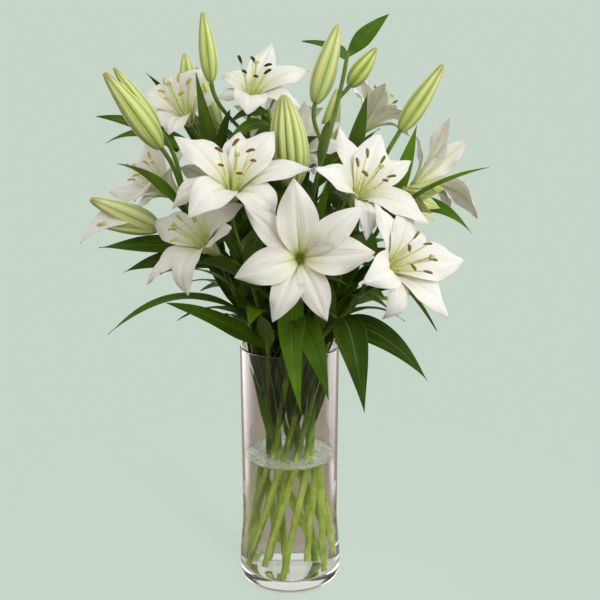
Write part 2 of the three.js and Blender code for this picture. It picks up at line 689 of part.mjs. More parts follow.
BLOOMS.forEach((bloom, i) => {
  const [name, stem, from, throat, facing, , length, spread, , stamens] = bloom;
  const axis = heading(facing);
  const seat = along(vector(throat), axis, -SEAT.depth);
  const right = Z.clone().cross(axis).normalize();
  const frame = new THREE.Matrix4().makeBasis(right, axis.clone().cross(right), axis).setPosition(seat);
  const flower = new THREE.Group();
  flower.applyMatrix4(frame);
  bouquet.add(flower);
  flower.add(addMesh(name, geometryOf(bloomSolid(bloom, i + 1)), spread > OPEN ? WHITE : GREENISH_WHITE));
  if (stamens) flower.add(addMesh(name + "_stamens", geometryOf(stamensSolid(length, i + 1)), POLLEN));
  greens.get(stem).push(pedicelSolid(paths.get(stem), from, seat, axis));
});

function openingParts() {
  const [base, tip, radius, taper] = OPENING_LOBE;
  const [start, end, ...shape] = LOOSE_TEPAL;
  const loose = blade(leafSurface(vector(start), vector(end), ...shape), LEAF_ROWS, 2, TEPAL.thick);
  return [budSolid(vector(base), vector(tip), radius, taper), solid(loose)];
}

BUDS.forEach(([name, stem, from, base, tip, radius, taper]) => {
  const axis = vector(tip).sub(vector(base)).normalize();
  const bud = budSolid(vector(base), vector(tip), radius, taper);
  addMesh(name, geometryOf(name === "bud_opening" ? union([bud, ...openingParts()]) : bud), BUD_GREEN);
  greens.get(stem).push(pedicelSolid(paths.get(stem), from, vector(base), axis));
});

LEAVES.forEach((leaf) => greens.get(leaf[0]).push(leafSolid(paths.get(leaf[0]), leaf, LEAF_ROWS)));

STEMS.filter(([, ring]) => ring === "outer").forEach(([name, , slot]) => {
  for (let i = 0; i < COLLAR.leaves; i++) {
    if (COLLAR_GAPS.has(slot + "-" + i)) continue;
    greens.get(name).push(leafSolid(paths.get(name), collarLeaf(name, slot, i), COLLAR_ROWS));
  }
});

for (const [name, solids] of greens) addMesh(name, geometryOf(union(solids)), LEAF_GREEN);

// Water: fills the vase to its level, with a plain hole for each stem. A stem that stands on the vase's
// floor has a hole right through.
function water() {
  const { inner } = vaseProfile();
  const [wall, toe] = inner.slice(-3);
  const bottom = VASE.floor + CLEAR;
  const reach = wall[0] - CLEAR;
  const profile = [
    [0, bottom],
    [toe[0] - CLEAR, bottom],
    [reach, wall[1]],
    [reach, WATER.level],
    [0, WATER.level],
  ];
  const points = profile.map(([r, z]) => new THREE.Vector2(r, z));
  const body = solid(new THREE.LatheGeometry(points, VASE.sides).rotateX(Math.PI / 2));
  const holes = [...paths.values()].map(({ foot, tie, direction }) => {
    const standing = foot.z < VASE.floor + STEM.radius;
    const start = along(foot, direction, standing ? -2 * VASE.floor : -CLEAR);
    return rod(new THREE.LineCurve3(start, tie), 1, () => STEM.radius + CLEAR * 1.2, STEM.sides);
  });
  return holes.reduce((whole, hole) => whole.subtract(hole), body);
}

addMesh("water", geometryOf(water()), WATER_TINT);

export default bouquet;
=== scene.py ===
import json
import math

import bpy
import numpy as np
from mathutils.kdtree import KDTree
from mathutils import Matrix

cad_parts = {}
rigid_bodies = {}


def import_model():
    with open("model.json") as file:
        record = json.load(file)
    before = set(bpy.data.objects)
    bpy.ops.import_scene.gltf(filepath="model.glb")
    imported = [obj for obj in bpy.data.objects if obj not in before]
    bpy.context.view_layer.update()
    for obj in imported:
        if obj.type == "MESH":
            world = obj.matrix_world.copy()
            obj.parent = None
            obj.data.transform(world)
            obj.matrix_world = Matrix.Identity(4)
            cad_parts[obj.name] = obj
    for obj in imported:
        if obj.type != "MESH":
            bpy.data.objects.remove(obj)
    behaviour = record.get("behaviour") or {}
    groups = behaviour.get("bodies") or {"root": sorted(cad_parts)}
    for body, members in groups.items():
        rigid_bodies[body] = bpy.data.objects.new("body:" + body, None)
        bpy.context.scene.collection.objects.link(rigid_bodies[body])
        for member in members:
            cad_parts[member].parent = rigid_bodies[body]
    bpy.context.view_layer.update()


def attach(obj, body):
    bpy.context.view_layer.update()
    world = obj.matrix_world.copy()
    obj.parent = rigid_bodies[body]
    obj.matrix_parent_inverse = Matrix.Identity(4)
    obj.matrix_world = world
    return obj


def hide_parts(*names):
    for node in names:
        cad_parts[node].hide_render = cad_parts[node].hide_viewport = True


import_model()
scene = bpy.context.scene

# Lengths below are in millimetres, as in the CAD source, and become metres when a mesh is made.
MM = 0.001

# Driving dimensions, the same as the CAD part's
VASE = {"height": 300, "rim": 60, "waist": 59, "foot": 63.5, "wall": 3.4, "floor": 13, "corner": 6}
FLARE = (30, 72)
WATER_LEVEL = 160
BUNDLE = {"outer": (11, 45, 108), "inner": (3, 24, -112)}
STEM = {"radius": 3.5, "neck": 2.3, "tie": 292}
PEDICEL = {"radius": (1.9, 2.6), "leaving": 0.35, "arriving": 0.4}
TEPAL = {"claw": 0.15, "widest": 0.53, "lean": 17, "inner": 0.44, "outer": 0.33}
OPENS, CURLS = (0.08, 0.55), (0.45, 1)
SEAT = {"depth": 17, "radius": 3, "flare": 6.3, "height": 5}
STAMEN = {"count": 6, "length": 58, "lean": 15, "lean_varies": 5, "nod": 1.6}
STYLE = {"length": 64, "tilt": 5}
LEAF = {"fold": 0.22, "base": 0.16, "widest": 0.36}
CLEAR = 0.3
OPEN = 30

# The scene's own, finer shapes: the vase's underside, leaf scars, tepals, buds, leaf edges and stamens
UNDERSIDE = {"hollow": 0.6, "ring": 22}
SCAR = {"first": 20, "first_varies": 10, "apart": 24, "apart_varies": 12, "swell": 0.3, "length": 2.2}
CURLED_BACK = -0.7
MIDRIB = {"height": 1.7, "width": 0.13}
CHANNEL = {"depth": 0.9, "beside": 0.34, "width": 0.16}
RUFFLE = {"least": 1.4, "pace": 13, "varies": 4, "crimp": 0.12, "crimp_pace": 2.7}
BUD = {"seam": 0.16, "rib": 0.26, "lesser": 0.85, "lesser_rib": 0.3, "swirl": 0.25}
FOLD_ROUNDING = 0.012
LEAF_WAVE = {"twist": 16, "least": 0.5, "varies": 0.7}
FILAMENT_RADII = (1.0, 0.55)
ANTHER = {"half": 5.2, "radius": 1.9, "flat": 0.75}
PISTIL = {"radii": (1.5, 1.1), "lobe": 1.7}

# Half the thickness of a blade at its foot, how much less it is at the tip, and the share lost at the edges
HALF = {"leaf": (0.42, 0.15, 0.7), "small": (0.3, 0, 0.7), "tepal": (0.62, 0.3, 0.6), "loose": (0.5, 0, 0.6)}

# Stems: name, ring, slot in the ring, foot height, top, and the azimuth and elevation that the top points to
STEMS = [
    ("stem_front", "outer", 0, 13.3, (9, -84, 392), (0, 62)),
    ("stem_right_low", "outer", 1, 13.3, (76, -82, 372), (52, 50)),
    ("stem_right_mid", "outer", 2, 24, (74, -46, 446), (60, 66)),
    ("stem_right_far", "outer", 3, 13.3, (112, -22, 458), (80, 60)),
    ("stem_back_right", "outer", 4, 33, (72, 44, 506), (110, 75)),
    ("stem_back", "outer", 5, 13.3, (44, 72, 440), (150, 60)),
    ("stem_back_high", "outer", 6, 21, (-12, 66, 500), (180, 70)),
    ("stem_back_left", "outer", 7, 38, (-52, 66, 434), (-145, 60)),
    ("stem_left_high", "outer", 8, 13.3, (-92, 14, 530), (-80, 72)),
    ("stem_left", "outer", 9, 28, (-106, -32, 448), (-75, 55)),
    ("stem_left_low", "outer", 10, 13.3, (-52, -72, 428), (-30, 66)),
    ("stem_spray", "inner", 0, 13.3, (67, 15, 640), (150, 72)),
    ("stem_top", "inner", 2, 13.3, (-48, 12, 556), (-20, 80)),
    ("stem_middle", "inner", 1, 13.3, (-22, -30, 578), (-25, 78)),
]

# Blooms: name, stem, height at which the pedicel leaves it, throat, facing, turn of the first tepal, tepal
# length, spread, curl and the colour of the anthers, or None where no stamens show
BLOOMS = [
    ("bloom_centre", "stem_front", 380, (13, -142, 431), (3, 14), 0, 94, 66, 40, None),
    ("bloom_upper_left", "stem_left_low", 424, (-57, -112, 497), (12, 50), 80, 92, 62, 62, "brown"),
    ("bloom_lower_left", "stem_left_low", 396, (-86, -96, 436), (-46, 38), 95, 86, 56, 62, "pale"),
    ("bloom_lower_right", "stem_right_low", 366, (106, -120, 417), (46, 24), 100, 94, 62, 52, "olive"),
    ("bloom_mid_right", "stem_right_mid", 440, (75, -78, 486), (30, 46), 90, 92, 52, 52, "olive"),
    ("bloom_far_right", "stem_right_far", 452, (152, -20, 499), (120, 30), 60, 84, 44, 56, None),
    ("bloom_right_back", "stem_back_right", 496, (94, 50, 562), (110, 52), 90, 78, 40, 30, "olive"),
    ("bloom_top", "stem_top", 548, (-43, 8, 592), (14, 54), 90, 84, 54, 44, "dark"),
    ("bloom_top_left", "stem_left_high", 520, (-118, 2, 572), (-22, 50), 80, 84, 52, 48, "pale"),
    ("bloom_left", "stem_left", 440, (-140, 8, 486), (-66, 40), 90, 86, 50, 44, "pale"),
    ("bloom_middle", "stem_middle", 450, (17, 38, 532), (10, 46), 90, 68, 46, 40, None),
    ("bloom_half_right", "stem_right_far", 436, (140, -52, 486), (66, -12), 30, 48, 24, 10, None),
    ("bloom_back_left", "stem_back_left", 428, (-84, 104, 474), (-148, 32), 90, 88, 60, 50, "brown"),
    ("bloom_back_right", "stem_back", 432, (74, 112, 478), (146, 30), 90, 88, 60, 50, "olive"),
    ("bloom_back_high", "stem_back_high", 492, (-14, 100, 540), (180, 44), 90, 86, 56, 50, "brown"),
]

# Listed tepals: azimuth in the bloom, length, width, spread, curl and layer
TEPALS = {
    "bloom_centre": [
        (96, 98, 43, 62, 16, 0), (38, 98, 32, 72, 30, 1), (2, 92, 42, 70, 30, 0),
        (-68, 86, 31, 84, 42, 1), (-114, 86, 31, 80, 44, 2), (-163, 88, 38, 74, 46, 0),
        (138, 92, 30, 72, 24, 1),
    ],
    "bloom_upper_left": [
        (141, 96, 40, 60, 38, 0), (78, 90, 31, 68, 48, 1), (48, 94, 44, 58, 40, 0),
        (4, 100, 30, 68, 40, 2), (-52, 86, 40, 66, 95, 1), (-134, 94, 42, 66, 62, 0),
        (195, 92, 28, 84, 80, 1),
    ],
    "bloom_lower_left": [
        (-72, 92, 40, 65, 88, 0), (-120, 94, 28, 68, 48, 1), (175, 94, 38, 62, 42, 0),
        (104, 90, 29, 64, 50, 1), (40, 88, 38, 56, 60, 0), (6, 90, 28, 62, 14, 1),
    ],
    "bloom_lower_right": [
        (-12, 100, 44, 58, 22, 0), (24, 84, 31, 66, 60, 1), (66, 84, 40, 58, 50, 0),
        (106, 86, 31, 62, 42, 1), (190, 92, 40, 62, 60, 0), (-118, 86, 29, 76, 100, 1),
        (-62, 96, 40, 64, 38, 2),
    ],
    "bloom_mid_right": [
        (56, 94, 42, 58, 30, 0), (20, 94, 32, 64, 38, 1), (-52, 100, 40, 68, 38, 0),
        (-110, 86, 27, 70, 62, 1), (172, 90, 38, 56, 24, 0), (98, 90, 30, 60, 16, 1),
    ],
    "bloom_far_right": [
        (-120, 96, 42, 62, 50, 0), (95, 90, 34, 30, 4, 0), (145, 80, 27, 22, 6, 1),
        (35, 84, 27, 44, 16, 1), (-30, 84, 34, 48, 20, 0), (-75, 80, 27, 56, 24, 1),
    ],
    "bloom_top": [
        (62, 84, 31, 60, 12, 1), (12, 90, 40, 60, 44, 0), (128, 64, 34, 62, 80, 0),
        (-46, 84, 29, 62, 50, 1), (-105, 84, 38, 60, 50, 0), (186, 50, 24, 66, 62, 1),
    ],
    "bloom_top_left": [
        (84, 92, 40, 62, 92, 0), (122, 92, 29, 66, 92, 1), (162, 90, 38, 66, 88, 2),
        (222, 72, 28, 64, 60, 1), (-84, 66, 34, 58, 50, 0), (36, 58, 26, 64, 60, 1),
    ],
    "bloom_left": [
        (148, 104, 44, 58, 14, 0), (180, 104, 32, 62, 18, 1), (214, 96, 42, 62, 8, 2),
        (-90, 78, 30, 66, 40, 1), (-30, 96, 46, 54, 32, 0), (40, 88, 38, 60, 32, 1),
    ],
}

# Buds: name, stem, height at which the pedicel leaves it, base, tip, greatest radius, taper, and how pale and
# how brown-tipped it is, each from 0 to 1
BUDS = [
    ("bud_tall", "stem_top", 530, (-86, -18, 607), (-94, -16, 681), 11, 0.3, 0.1, 0.1),
    ("bud_behind", "stem_left_high", 510, (-120, 50, 600), (-124, 54, 642), 10, 0.28, 0.1, 0.2),
    ("bud_left", "stem_left", 446, (-135, -72, 537), (-190, -82, 614), 15, 0.44, 0.1, 0.6),
    ("bud_ribbed", "stem_middle", 440, (6, -60, 494), (-5, -72, 592), 20, 0.02, 0.2, 0.2),
    ("bud_spray", "stem_spray", 520, (30, 10, 584), (56, 18, 671), 15, 0.3, 0.25, 0.1),
    ("bud_small", "stem_spray", 585, (69, 12, 603), (99, 10, 645), 12, 0.3, 0.0, 0.2),
    ("bud_right", "stem_right_mid", 430, (124, -30, 554), (169, -30, 625), 13, 0.38, 0.1, 0.3),
    ("bud_second", "stem_left", 440, (-140, -50, 556), (-184, -62, 620), 9, 0.3, 0.1, 0.4),
    ("bud_opening", "stem_left", 426, (-144, -51, 449), (-215, -68, 482), 15, 0.4, 0.35, 0.7),
    ("bud_back_left", "stem_back_left", 422, (-88, 84, 548), (-116, 100, 628), 13, 0.3, 0.2, 0.3),
    ("bud_back_right", "stem_back_high", 486, (44, 96, 528), (60, 116, 602), 13, 0.3, 0.1, 0.2),
]
FOLDS = {"bud_ribbed": (6, 0.15)}
PLAIN_FOLDS = (3, 0.08)
OPENING_LOBE = ((-144, -53, 447), (-208, -70, 455), 9, 0.3)
LOOSE_TEPAL = ((-160, -58, 461), (-228, -72, 434), 30, 0, 30, -50)

# Leaves: stem, height on it, tip, rise of the bow above the chord, sideways bow, width and roll about the rib
LEAVES = [
    ("stem_spray", 636, (115, 32, 684), 8, 6, 20, 60),
    ("stem_spray", 632, (15, 38, 655), 10, 46, 15, -50),
    ("stem_left_high", 516, (-101, -32, 617), -8, 0, 20, 0),
    ("stem_left_high", 504, (-217, -14, 570), 28, 22, 27, -50),
    ("stem_left_high", 500, (-169, 40, 620), 0, 60, 24, -60),
    ("stem_middle", 572, (-64, -40, 563), 16, 0, 15, -50),
    ("stem_middle", 560, (-70, -78, 532), 26, 0, 15, -40),
    ("stem_left_high", 500, (-206, -22, 540), 56, 14, 21, -50),
    ("stem_left", 446, (-178, -96, 522), 30, 0, 18, -50),
    ("stem_left", 422, (-210, -62, 428), 8, 0, 27, -45),
    ("stem_left", 400, (-182, -72, 402), 24, 0, 26, -45),
    ("stem_left", 345, (-202, -76, 332), 62, 0, 14, -30),
    ("stem_left_low", 306, (-134, -86, 371), 14, 0, 24, -50),
    ("stem_left_low", 396, (-90, -124, 424), 16, 0, 20, -30),
    ("stem_front", 372, (14, -140, 262), 42, 16, 29, 0),
    ("stem_front", 350, (44, -114, 268), 36, 0, 31, 28),
    ("stem_front", 386, (46, -96, 516), -8, 0, 19, 80),
    ("stem_right_low", 350, (82, -130, 259), 48, 0, 37, 22),
    ("stem_right_low", 336, (153, -100, 286), 44, 0, 34, 45),
    ("stem_right_mid", 350, (143, -62, 385), 20, 0, 15, 45),
    ("stem_right_mid", 436, (97, -102, 418), 28, 0, 23, 20),
    ("stem_right_far", 400, (168, -60, 332), 44, 0, 11, 40),
    ("stem_right_far", 454, (146, -6, 561), 0, 8, 20, 70),
    ("stem_right_far", 450, (208, -34, 440), 54, 0, 20, 60),
    ("stem_right_far", 430, (212, -90, 518), 30, 50, 9, 50),
    ("stem_back_right", 500, (91, 18, 596), 0, 0, 20, -55),
    ("stem_back_right", 504, (104, -4, 556), 18, 0, 15, 20),
    ("stem_front", 176, (-46, -27, 280), 0, -16, 12, -60),
    ("stem_left_low", 225, (-44, -40, 325), 0, -8, 17, -60),
    ("stem_right_low", 215, (40, -40, 322), 0, 8, 17, 60),
]

# The rule for the leaves of the collar above the rim
COLLAR = {"lowest": 304, "step": 36, "length": 88, "width": 24, "bow": 26, "fan": 24, "drop": (-6, 4, 30)}
COLLAR_GAPS = {"0-0", "1-0", "2-0", "3-0", "5-0", "5-1", "6-1", "6-2", "7-2", "8-0", "9-0", "10-0"}

# The small leaves that fill the shade between the stems
SMALL = {"lowest": 195, "highest": 520, "step": 11, "length": (50, 92), "width": (14, 26)}
SMALL_RISE = {"inside": 78, "least": 30, "varies": 35}
SMALL_ROOM = {"reach": 112, "clear": 3.2}
GOLDEN_ANGLE = 137.5
BUBBLES = {"count": 1100, "small": 0.3, "large": 1.3, "at_edge": 0.2, "gap": 0.6}

# Seeds of the random draws
SEED = {"stems": 3, "tepals": 31, "stamens": 90, "loose": 7, "leaves": 401, "small": 77, "bubbles": 11}

# How finely the pieces are made
STRAIGHT, CURVED = 99, 90
SIDES = {"stem": 14, "pedicel": 12, "cup": 24, "disc": 16, "filament": 8, "anther": 10, "bud": 96}
VASE_SIDES = 192
POINTS = {"pedicel": 24, "tepal": 60, "filament": 14, "anther": 11, "lobe": 8}
LEAF_ROWS = np.concatenate([[0.0], 0.998 * np.sin(np.linspace(0.06, math.pi / 2, 32))])
LEAF_COLS = np.array([-1, -0.86, -0.66, -0.44, -0.22, -0.07, 0.07, 0.22, 0.44, 0.66, 0.86, 1])
SMALL_ROWS = np.concatenate([[0.0], 0.996 * np.sin(np.linspace(0.1, math.pi / 2, 15))])
SMALL_COLS = np.array([-1, -0.7, -0.35, -0.08, 0.08, 0.35, 0.7, 1])
TEPAL_ROWS = np.concatenate([[0.0], 0.992 * np.sin(np.linspace(0.05, math.pi / 2, 34))])
TEPAL_COLS = np.sin(np.linspace(-math.pi / 2, math.pi / 2, 19)) * 0.35 + np.linspace(-1, 1, 19) * 0.65
BUD_ROWS = np.concatenate([[0.0], 1 - np.cos(np.linspace(0.1, math.pi / 2, 34)) * 0.995, [1.0]])

# Camera and stage. The room shows only in clear glass and gloss: its colours by height, its windows as
# direction and strength, and how much dimmer it is towards the front.
CAMERA = {"place": (12.7, -989.5, 578.4), "down": 12.74, "lens": 50.8, "sensor": 36}
BACKDROP = "#c6d5c8"
BOUNCES = 24
FLOOR = {"size": 30.0, "below": 0.0002, "near": 0.1, "far": 0.6, "share": 0.2}
UPRIGHTS = {"scale": 4.0, "swing": 0.16}
WINDOWS = [(-0.8, 0.6, 2.2), (0.82, 0.57, 1.4)]
WINDOW_EDGE, WINDOW_COLOUR = (0.86, 0.97), "#eceaf4"
ROOM = [(0.0, "#85827a"), (0.1, "#a5a29b"), (0.24, "#b0a499"), (0.4, "#968776")]
ROOM += [(0.55, "#a99d92"), (0.66, "#dcdad5"), (1.0, "#f0efec")]
FRONT_DIM = {"front": -0.9, "back": 0.2, "strength": 0.4}
AROUND = [(0.0, "#3c3c2a"), (0.42, "#84826c"), (0.62, "#cfccc0"), (1.0, "#fafaf6")]
BRIGHT_SIDE = (0.3, -0.3, 0.9)

# Lamps: name, place, aim, size, power, colour and spread in degrees
LAMPS = [
    ("key", (1.15, -1.25, 1.5), (0, 0, 0.45), (0.8, 0.8), 11.5, "#fffefd", 180),
    ("fill", (-1.6, -1.0, 1.1), (0, 0, 0.4), (1.2, 1.6), 2.0, "#fffaf2", 180),
    ("right", (1.5, -0.9, 0.5), (0.1, 0, 0.45), (1.0, 1.0), 7, "#ffffff", 180),
    ("back", (0.5, 1.8, 1.6), (0, 0, 0.45), (1.4, 1.0), 14, "#ffffff", 180),
    ("stems", (1.0, -1.4, 0.4), (0, 0, 0.07), (0.12, 0.12), 0.24, "#fff4e0", 14),
]


# Helpers
UP = np.array([0, 0, 1.0])
PRIME = 2147483647


def rgb(text):
    """A hex colour as linear red, green, blue and alpha."""
    parts = [int(text[i : i + 2], 16) / 255 for i in (1, 3, 5)]
    return tuple(c / 12.92 if c <= 0.04045 else ((c + 0.055) / 1.055) ** 2.4 for c in parts) + (1,)


def mix(a, b, share):
    return a + (b - a) * share


def smooth(x, low, high):
    share = np.clip((x - low) / (high - low), 0, 1)
    return share * share * (3 - 2 * share)


def bell(x, width):
    """1 at nothing, and almost nothing at twice the width."""
    return np.exp(-((x / width) ** 2))


def turns(sides):
    """The angles of the points round a ring."""
    return 2 * math.pi * np.arange(sides) / sides


def unit(v):
    v = np.asarray(v, float)
    return v / np.linalg.norm(v, axis=-1, keepdims=True)


def heading(azimuth, elevation):
    """A direction, from its degrees round from the front to the right and its degrees upwards."""
    a, e = math.radians(azimuth), math.radians(elevation)
    return np.array([math.sin(a) * math.cos(e), -math.cos(a) * math.cos(e), math.sin(e)])


def around(angle, radius=1.0, height=0.0):
    """The point at an angle round the upright axis."""
    return np.array([math.cos(angle) * radius, math.sin(angle) * radius, height])


def draws(seed):
    """The CAD source's repeatable draws between 0 and 1."""
    state = (seed * 48271) % PRIME

    def draw():
        nonlocal state
        state = (state * 16807) % PRIME
        return state / PRIME

    return draw


def bezier(points, t):
    """A curve through its first and last control point, at the parameters t."""
    points = [np.asarray(p, float) for p in points]
    t = np.asarray(t, float)[..., None]
    while len(points) > 1:
        points = [a * (1 - t) + b * t for a, b in zip(points, points[1:])]
    return points[0]


def add(name, data):
    """An object in the scene with this mesh, lamp or camera."""
    made = bpy.data.objects.new(name, data)
    scene.collection.objects.link(made)
    return made


# Shells: a shell is a closed set of points and faces, with one value of each attribute at each point
ATTRIBUTES = ("along", "across", "under", "shade", "kind")


def shell(points, quads, triangles=(), rim=None, slot=0, **values):
    count = len(points)
    quads, triangles = np.reshape(quads, (-1, 4)), np.reshape(triangles, (-1, 3))
    return {
        "points": np.asarray(points, float),
        "quads": quads.astype(int),
        "triangles": triangles.astype(int),
        "rim": np.zeros(count, int) if rim is None else rim,
        "slots": (np.full(len(quads), slot), np.full(len(triangles), slot)),
        "values": {name: np.broadcast_to(values.get(name, 0.0), (count,)) for name in ATTRIBUTES},
    }


def grid_quads(rows, cols, start=0, wrap=False):
    i, j = np.meshgrid(np.arange(rows - 1), np.arange(cols if wrap else cols - 1), indexing="ij")
    k = (j + 1) % cols
    a, b = start + i * cols + j, start + (i + 1) * cols + j
    c, d = start + (i + 1) * cols + k, start + i * cols + k
    return np.stack([a, b, c, d], -1).reshape(-1, 4)


def ring_faces(count, sides):
    """The quads between rings of points, and the fans round the two points that come after the rings."""
    k = np.arange(sides)
    after = (k + 1) % sides
    first, top = count * sides, (count - 1) * sides
    bottom_fan = np.stack([np.full(sides, first), after, k], -1)
    top_fan = np.stack([np.full(sides, first + 1), top + k, top + after], -1)
    return grid_quads(count, sides, wrap=True)[:, ::-1], np.concatenate([bottom_fan, top_fan])


def blade(surface, rows, cols, half, **values):
    """A thin closed blade round the surface(t, s), with its own rim."""
    t, s = np.meshgrid(rows, cols, indexing="ij")
    points = surface(t, s)
    normals = unit(np.cross(np.gradient(points, axis=0), np.gradient(points, axis=1)))
    thick, thinner, edge_share = HALF[half]
    reach = ((thick - thinner * t) * (1 - edge_share * s * s))[..., None]
    both = np.concatenate([points + normals * reach, points - normals * reach]).reshape(-1, 3)
    n_rows, n_cols = t.shape
    count = n_rows * n_cols
    upper = grid_quads(n_rows, n_cols)
    lower = grid_quads(n_rows, n_cols, count)[:, ::-1]
    index = np.arange(count).reshape(n_rows, n_cols)
    loop = np.concatenate([index[:-1, 0], index[-1, :-1], index[:0:-1, -1], index[0, :0:-1]])
    after = np.roll(loop, -1)
    sides = np.stack([after, loop, loop + count, after + count], -1)
    rim = np.zeros(2 * count, int)
    rim[loop] = 1
    rim[loop + count] = 2
    return shell(
        both,
        np.concatenate([upper, lower, sides]),
        rim=rim,
        along=np.tile(t.ravel(), 2),
        across=np.tile(s.ravel(), 2),
        under=np.repeat([0.0, 1.0], count),
        **values,
    )


def tube(centres, radii, sides, flatten=1.0, slot=0):
    """A closed rod along a line of points, with a changing radius."""
    centres = np.asarray(centres, float)
    directions = unit(np.gradient(centres, axis=0))
    radii = np.broadcast_to(radii, (len(centres),))
    side = np.array([1.0, 0, 0])
    turn = turns(sides)
    rings = []
    for centre, direction, radius in zip(centres, directions, radii):
        side = unit(side - direction * np.dot(side, direction))
        other = np.cross(direction, side)
        ring = np.cos(turn)[:, None] * side + flatten * np.sin(turn)[:, None] * other
        rings.append(centre + radius * ring)
    count = len(centres)
    points = np.concatenate([np.concatenate(rings), centres[:1], centres[-1:]])
    along = np.concatenate([np.repeat(np.linspace(0, 1, count), sides), [0, 1]])
    across = np.concatenate([np.tile(turn, count), [0, 0]])
    return shell(points, *ring_faces(count, sides), along=along, across=across, slot=slot)


def lathe(profile, sides, **values):
    """A closed body turned about +Z, from a profile that starts and ends on the axis."""
    inner = np.asarray(profile[1:-1], float)
    turn = turns(sides)
    reach, height = inner.T
    x, y = np.outer(reach, np.cos(turn)), np.outer(reach, np.sin(turn))
    rings = np.stack([x, y, np.repeat(height[:, None], sides, 1)], -1)
    points = np.concatenate([rings.reshape(-1, 3), [(0, 0, profile[0][1])], [(0, 0, profile[-1][1])]])
    return shell(points, *ring_faces(len(inner), sides), **values)


def rounded(profile, radii, steps=6):
    """The profile with each corner that has a radius turned into an arc."""
    points = [np.asarray(p, float) for p in profile]
    smoothed = []
    for i, (point, radius) in enumerate(zip(points, radii)):
        if radius:
            before, after = unit(points[i - 1] - point), unit(points[i + 1] - point)
            arc = [point + before * radius, point, point + after * radius]
            smoothed += list(bezier(arc, np.linspace(0, 1, steps)))
        else:
            smoothed.append(point)
    return smoothed


def steadied(profile, near=0.4):
    """The profile with a point close to both ends of each long run, which keeps smooth shading true."""
    points = [np.asarray(p, float) for p in profile]
    steady = [points[0]]
    for start, end in zip(points, points[1:]):
        step = unit(end - start) * near
        if np.linalg.norm(end - start) > 6 * near:
            steady += [start + step, end - step]
        steady.append(end)
    return steady


def make_piece(name, node, materials, shells):
    """One object from its shells, which rides on the body and stands for its CAD node."""
    offsets = np.cumsum([0] + [len(s["points"]) for s in shells])
    points = np.concatenate([s["points"] for s in shells]) * MM
    quads = np.concatenate([s["quads"] + o for s, o in zip(shells, offsets)])
    triangles = np.concatenate([s["triangles"] + o for s, o in zip(shells, offsets)])
    slots = np.concatenate([s["slots"][0] for s in shells] + [s["slots"][1] for s in shells])
    mesh = bpy.data.meshes.new(name)
    mesh.from_pydata(points.tolist(), [], [*quads.tolist(), *triangles.tolist()], shade_flat=False)
    mesh.polygons.foreach_set("material_index", slots.astype(np.int32))
    rim = np.concatenate([s["rim"] for s in shells])
    ends = np.zeros(len(mesh.edges) * 2, np.int32)
    mesh.edges.foreach_get("vertices", ends)
    a, b = rim[ends].reshape(-1, 2).T
    mesh.edges.foreach_set("use_edge_sharp", (a == b) & (a > 0))
    for attribute in ATTRIBUTES:
        data = np.concatenate([s["values"][attribute] for s in shells])
        mesh.attributes.new(attribute, "FLOAT", "POINT").data.foreach_set("value", data.astype(np.float32))
    for material in materials:
        mesh.materials.append(material)
    mesh.update()
    piece = add(name, mesh)
    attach(piece, "root")
    if node:
        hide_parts(node)


# Materials
class Graph:
    """A node tree, with short calls for the nodes that are used here."""

    def __init__(self, tree):
        self.tree = tree

    def node(self, kind, **settings):
        made = self.tree.nodes.new(kind)
        for key, value in settings.items():
            setattr(made, key, value)
        return made

    def feed(self, socket, value):
        if isinstance(value, bpy.types.NodeSocket):
            self.tree.links.new(value, socket)
        else:
            socket.default_value = value

    def fill(self, node, *values):
        for socket, value in zip(node.inputs, values):
            self.feed(socket, value)
        return node

    def math(self, operation, *values):
        return self.fill(self.node("ShaderNodeMath", operation=operation), *values).outputs[0]

    def times(self, a, b):
        return self.math("MULTIPLY", a, b)

    def vector(self, operation, *values):
        return self.fill(self.node("ShaderNodeVectorMath", operation=operation), *values)

    def remap(self, value, low, high, to_low=0.0, to_high=1.0, kind="SMOOTHSTEP"):
        node = self.node("ShaderNodeMapRange", interpolation_type=kind)
        return self.fill(node, value, low, high, to_low, to_high).outputs["Result"]

    def ramp(self, value, stops):
        node = self.node("ShaderNodeValToRGB")
        elements = node.color_ramp.elements
        while len(elements) < len(stops):
            elements.new(0.5)
        for element, (place, colour) in zip(elements, stops):
            element.position = place
            element.color = rgb(colour)
        return self.fill(node, value).outputs["Color"]

    def mix(self, factor, a, b, blend="MIX"):
        node = self.node("ShaderNodeMix", data_type="RGBA", blend_type=blend)
        for i, value in ((0, factor), (6, a), (7, b)):
            self.feed(node.inputs[i], rgb(value) if isinstance(value, str) else value)
        return node.outputs[2]

    def combine(self, x, y, z):
        return self.fill(self.node("ShaderNodeCombineXYZ"), x, y, z).outputs[0]

    def place(self):
        return self.node("ShaderNodeTexCoord").outputs["Object"]

    def noise(self, vector, scale, detail=2.0):
        node = self.node("ShaderNodeTexNoise")
        self.feed(node.inputs["Vector"], vector)
        node.inputs["Scale"].default_value = scale
        node.inputs["Detail"].default_value = detail
        return node.outputs["Fac"]

    def background(self, colour, strength=1.0):
        return self.fill(self.node("ShaderNodeBackground"), colour, strength).outputs[0]

    def choose(self, factor, first, second):
        return self.fill(self.node("ShaderNodeMixShader"), factor, first, second).outputs[0]


